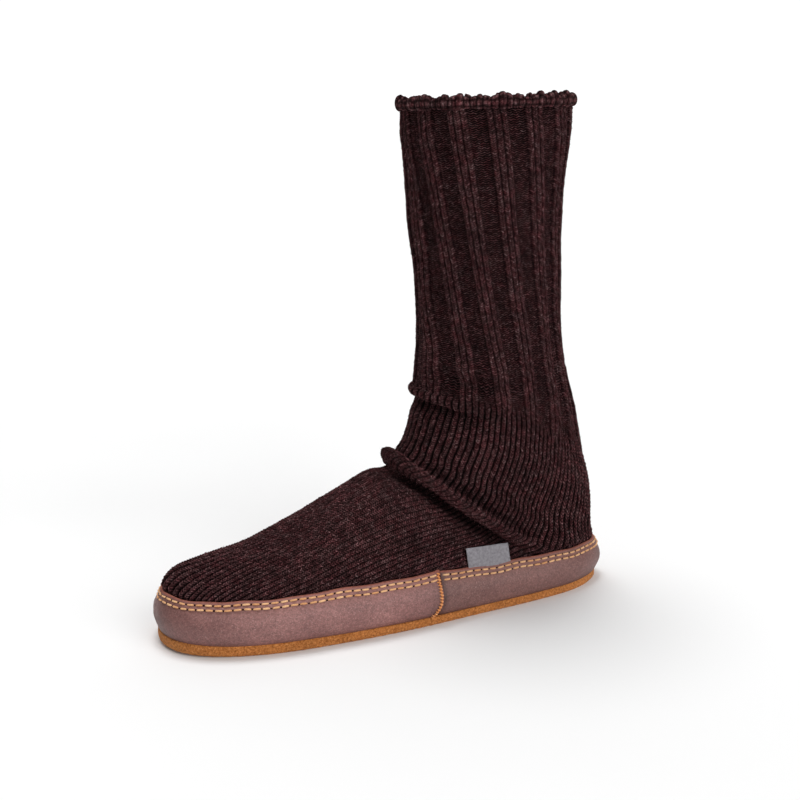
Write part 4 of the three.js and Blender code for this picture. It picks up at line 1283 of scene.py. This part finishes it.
# ---------------------------------------------------------------- floor, light, camera
def floor_mat():
    t = Tree("floor")
    obj = t.coords()
    t.link(t.ramp(t.noise(obj, 3.0, 2.0), [(0.3, (0.90, 0.90, 0.90)), (0.7, (0.92, 0.92, 0.92))]), t.bsdf.inputs["Base Color"])
    t.bsdf.inputs["Roughness"].default_value = 0.9
    t.bsdf.inputs["Specular IOR Level"].default_value = 0.1
    return t.mat


S = 12.0
me = bpy.data.meshes.new("floor")
me.from_pydata([(-S, -S, 0), (S, -S, 0), (S, S, 0), (-S, S, 0)], [], [(0, 1, 2, 3)])
floor = bpy.data.objects.new("floor", me)
bpy.context.scene.collection.objects.link(floor)
floor.data.materials.append(floor_mat())

world = bpy.data.worlds.new("studio")
bpy.context.scene.world = world
world.use_nodes = True
wt = world.node_tree
bg = wt.nodes["Background"]
bg.inputs[0].default_value = (1, 1, 1, 1)
wdir = wt.nodes.new("ShaderNodeTexCoord")
dot = wt.nodes.new("ShaderNodeVectorMath")
dot.operation = "DOT_PRODUCT"
wt.links.new(wdir.outputs["Generated"], dot.inputs[0])
dot.inputs[1].default_value = (-0.35, -0.937, 0.0)
wall = wt.nodes.new("ShaderNodeMapRange")
wall.interpolation_type = "SMOOTHSTEP"
wall.inputs["From Min"].default_value, wall.inputs["From Max"].default_value = 0.45, 0.90
wall.inputs["To Min"].default_value, wall.inputs["To Max"].default_value = 0.36, 1.06
wt.links.new(dot.outputs["Value"], wall.inputs["Value"])
wt.links.new(wall.outputs[0], bg.inputs[1])


def sun(name, toward, angle, strength):
    li = bpy.data.lights.new(name, "SUN")
    li.angle = math.radians(angle)
    li.energy = strength
    ob = bpy.data.objects.new(name, li)
    ob.rotation_euler = Vector(toward).to_track_quat("Z", "Y").to_euler()
    bpy.context.scene.collection.objects.link(ob)


sun("key", (-0.36, 0.92, 0.50), 44, 1.36)
sun("top", (0.04, -0.20, 1.0), 30, 1.62)

CAM_AT = np.array([371.8, 660.0, 284.1])
CAM_AIM = np.array([125.06, 0.0, 121.12])
ROLL, FOCAL_PX = math.radians(-1.57), 1279.0
b = CAM_AT - CAM_AIM
b /= np.linalg.norm(b)
right = np.cross([0, 0, 1.0], b)
right /= np.linalg.norm(right)
up = np.cross(b, right)
Rv = right * math.cos(ROLL) + up * math.sin(ROLL)
Uv = up * math.cos(ROLL) - right * math.sin(ROLL)
cam_data = bpy.data.cameras.new("camera")
cam_data.sensor_width = 36.0
cam_data.lens = 36.0 * FOCAL_PX / 800
cam_data.clip_start, cam_data.clip_end = 0.01, 50
cam = bpy.data.objects.new("camera", cam_data)
bpy.context.scene.collection.objects.link(cam)
mw = Matrix.Identity(4)
loc = (CAM_AT - np.array([MX, MY, 0])) / 1000
for k in range(3):
    mw[k][0], mw[k][1], mw[k][2], mw[k][3] = Rv[k], Uv[k], b[k], loc[k]
cam.matrix_world = mw
bpy.context.scene.camera = cam
bpy.context.scene.view_settings.view_transform = "Standard"
bpy.context.scene.view_settings.look = "None"

bpy.context.view_layer.update()
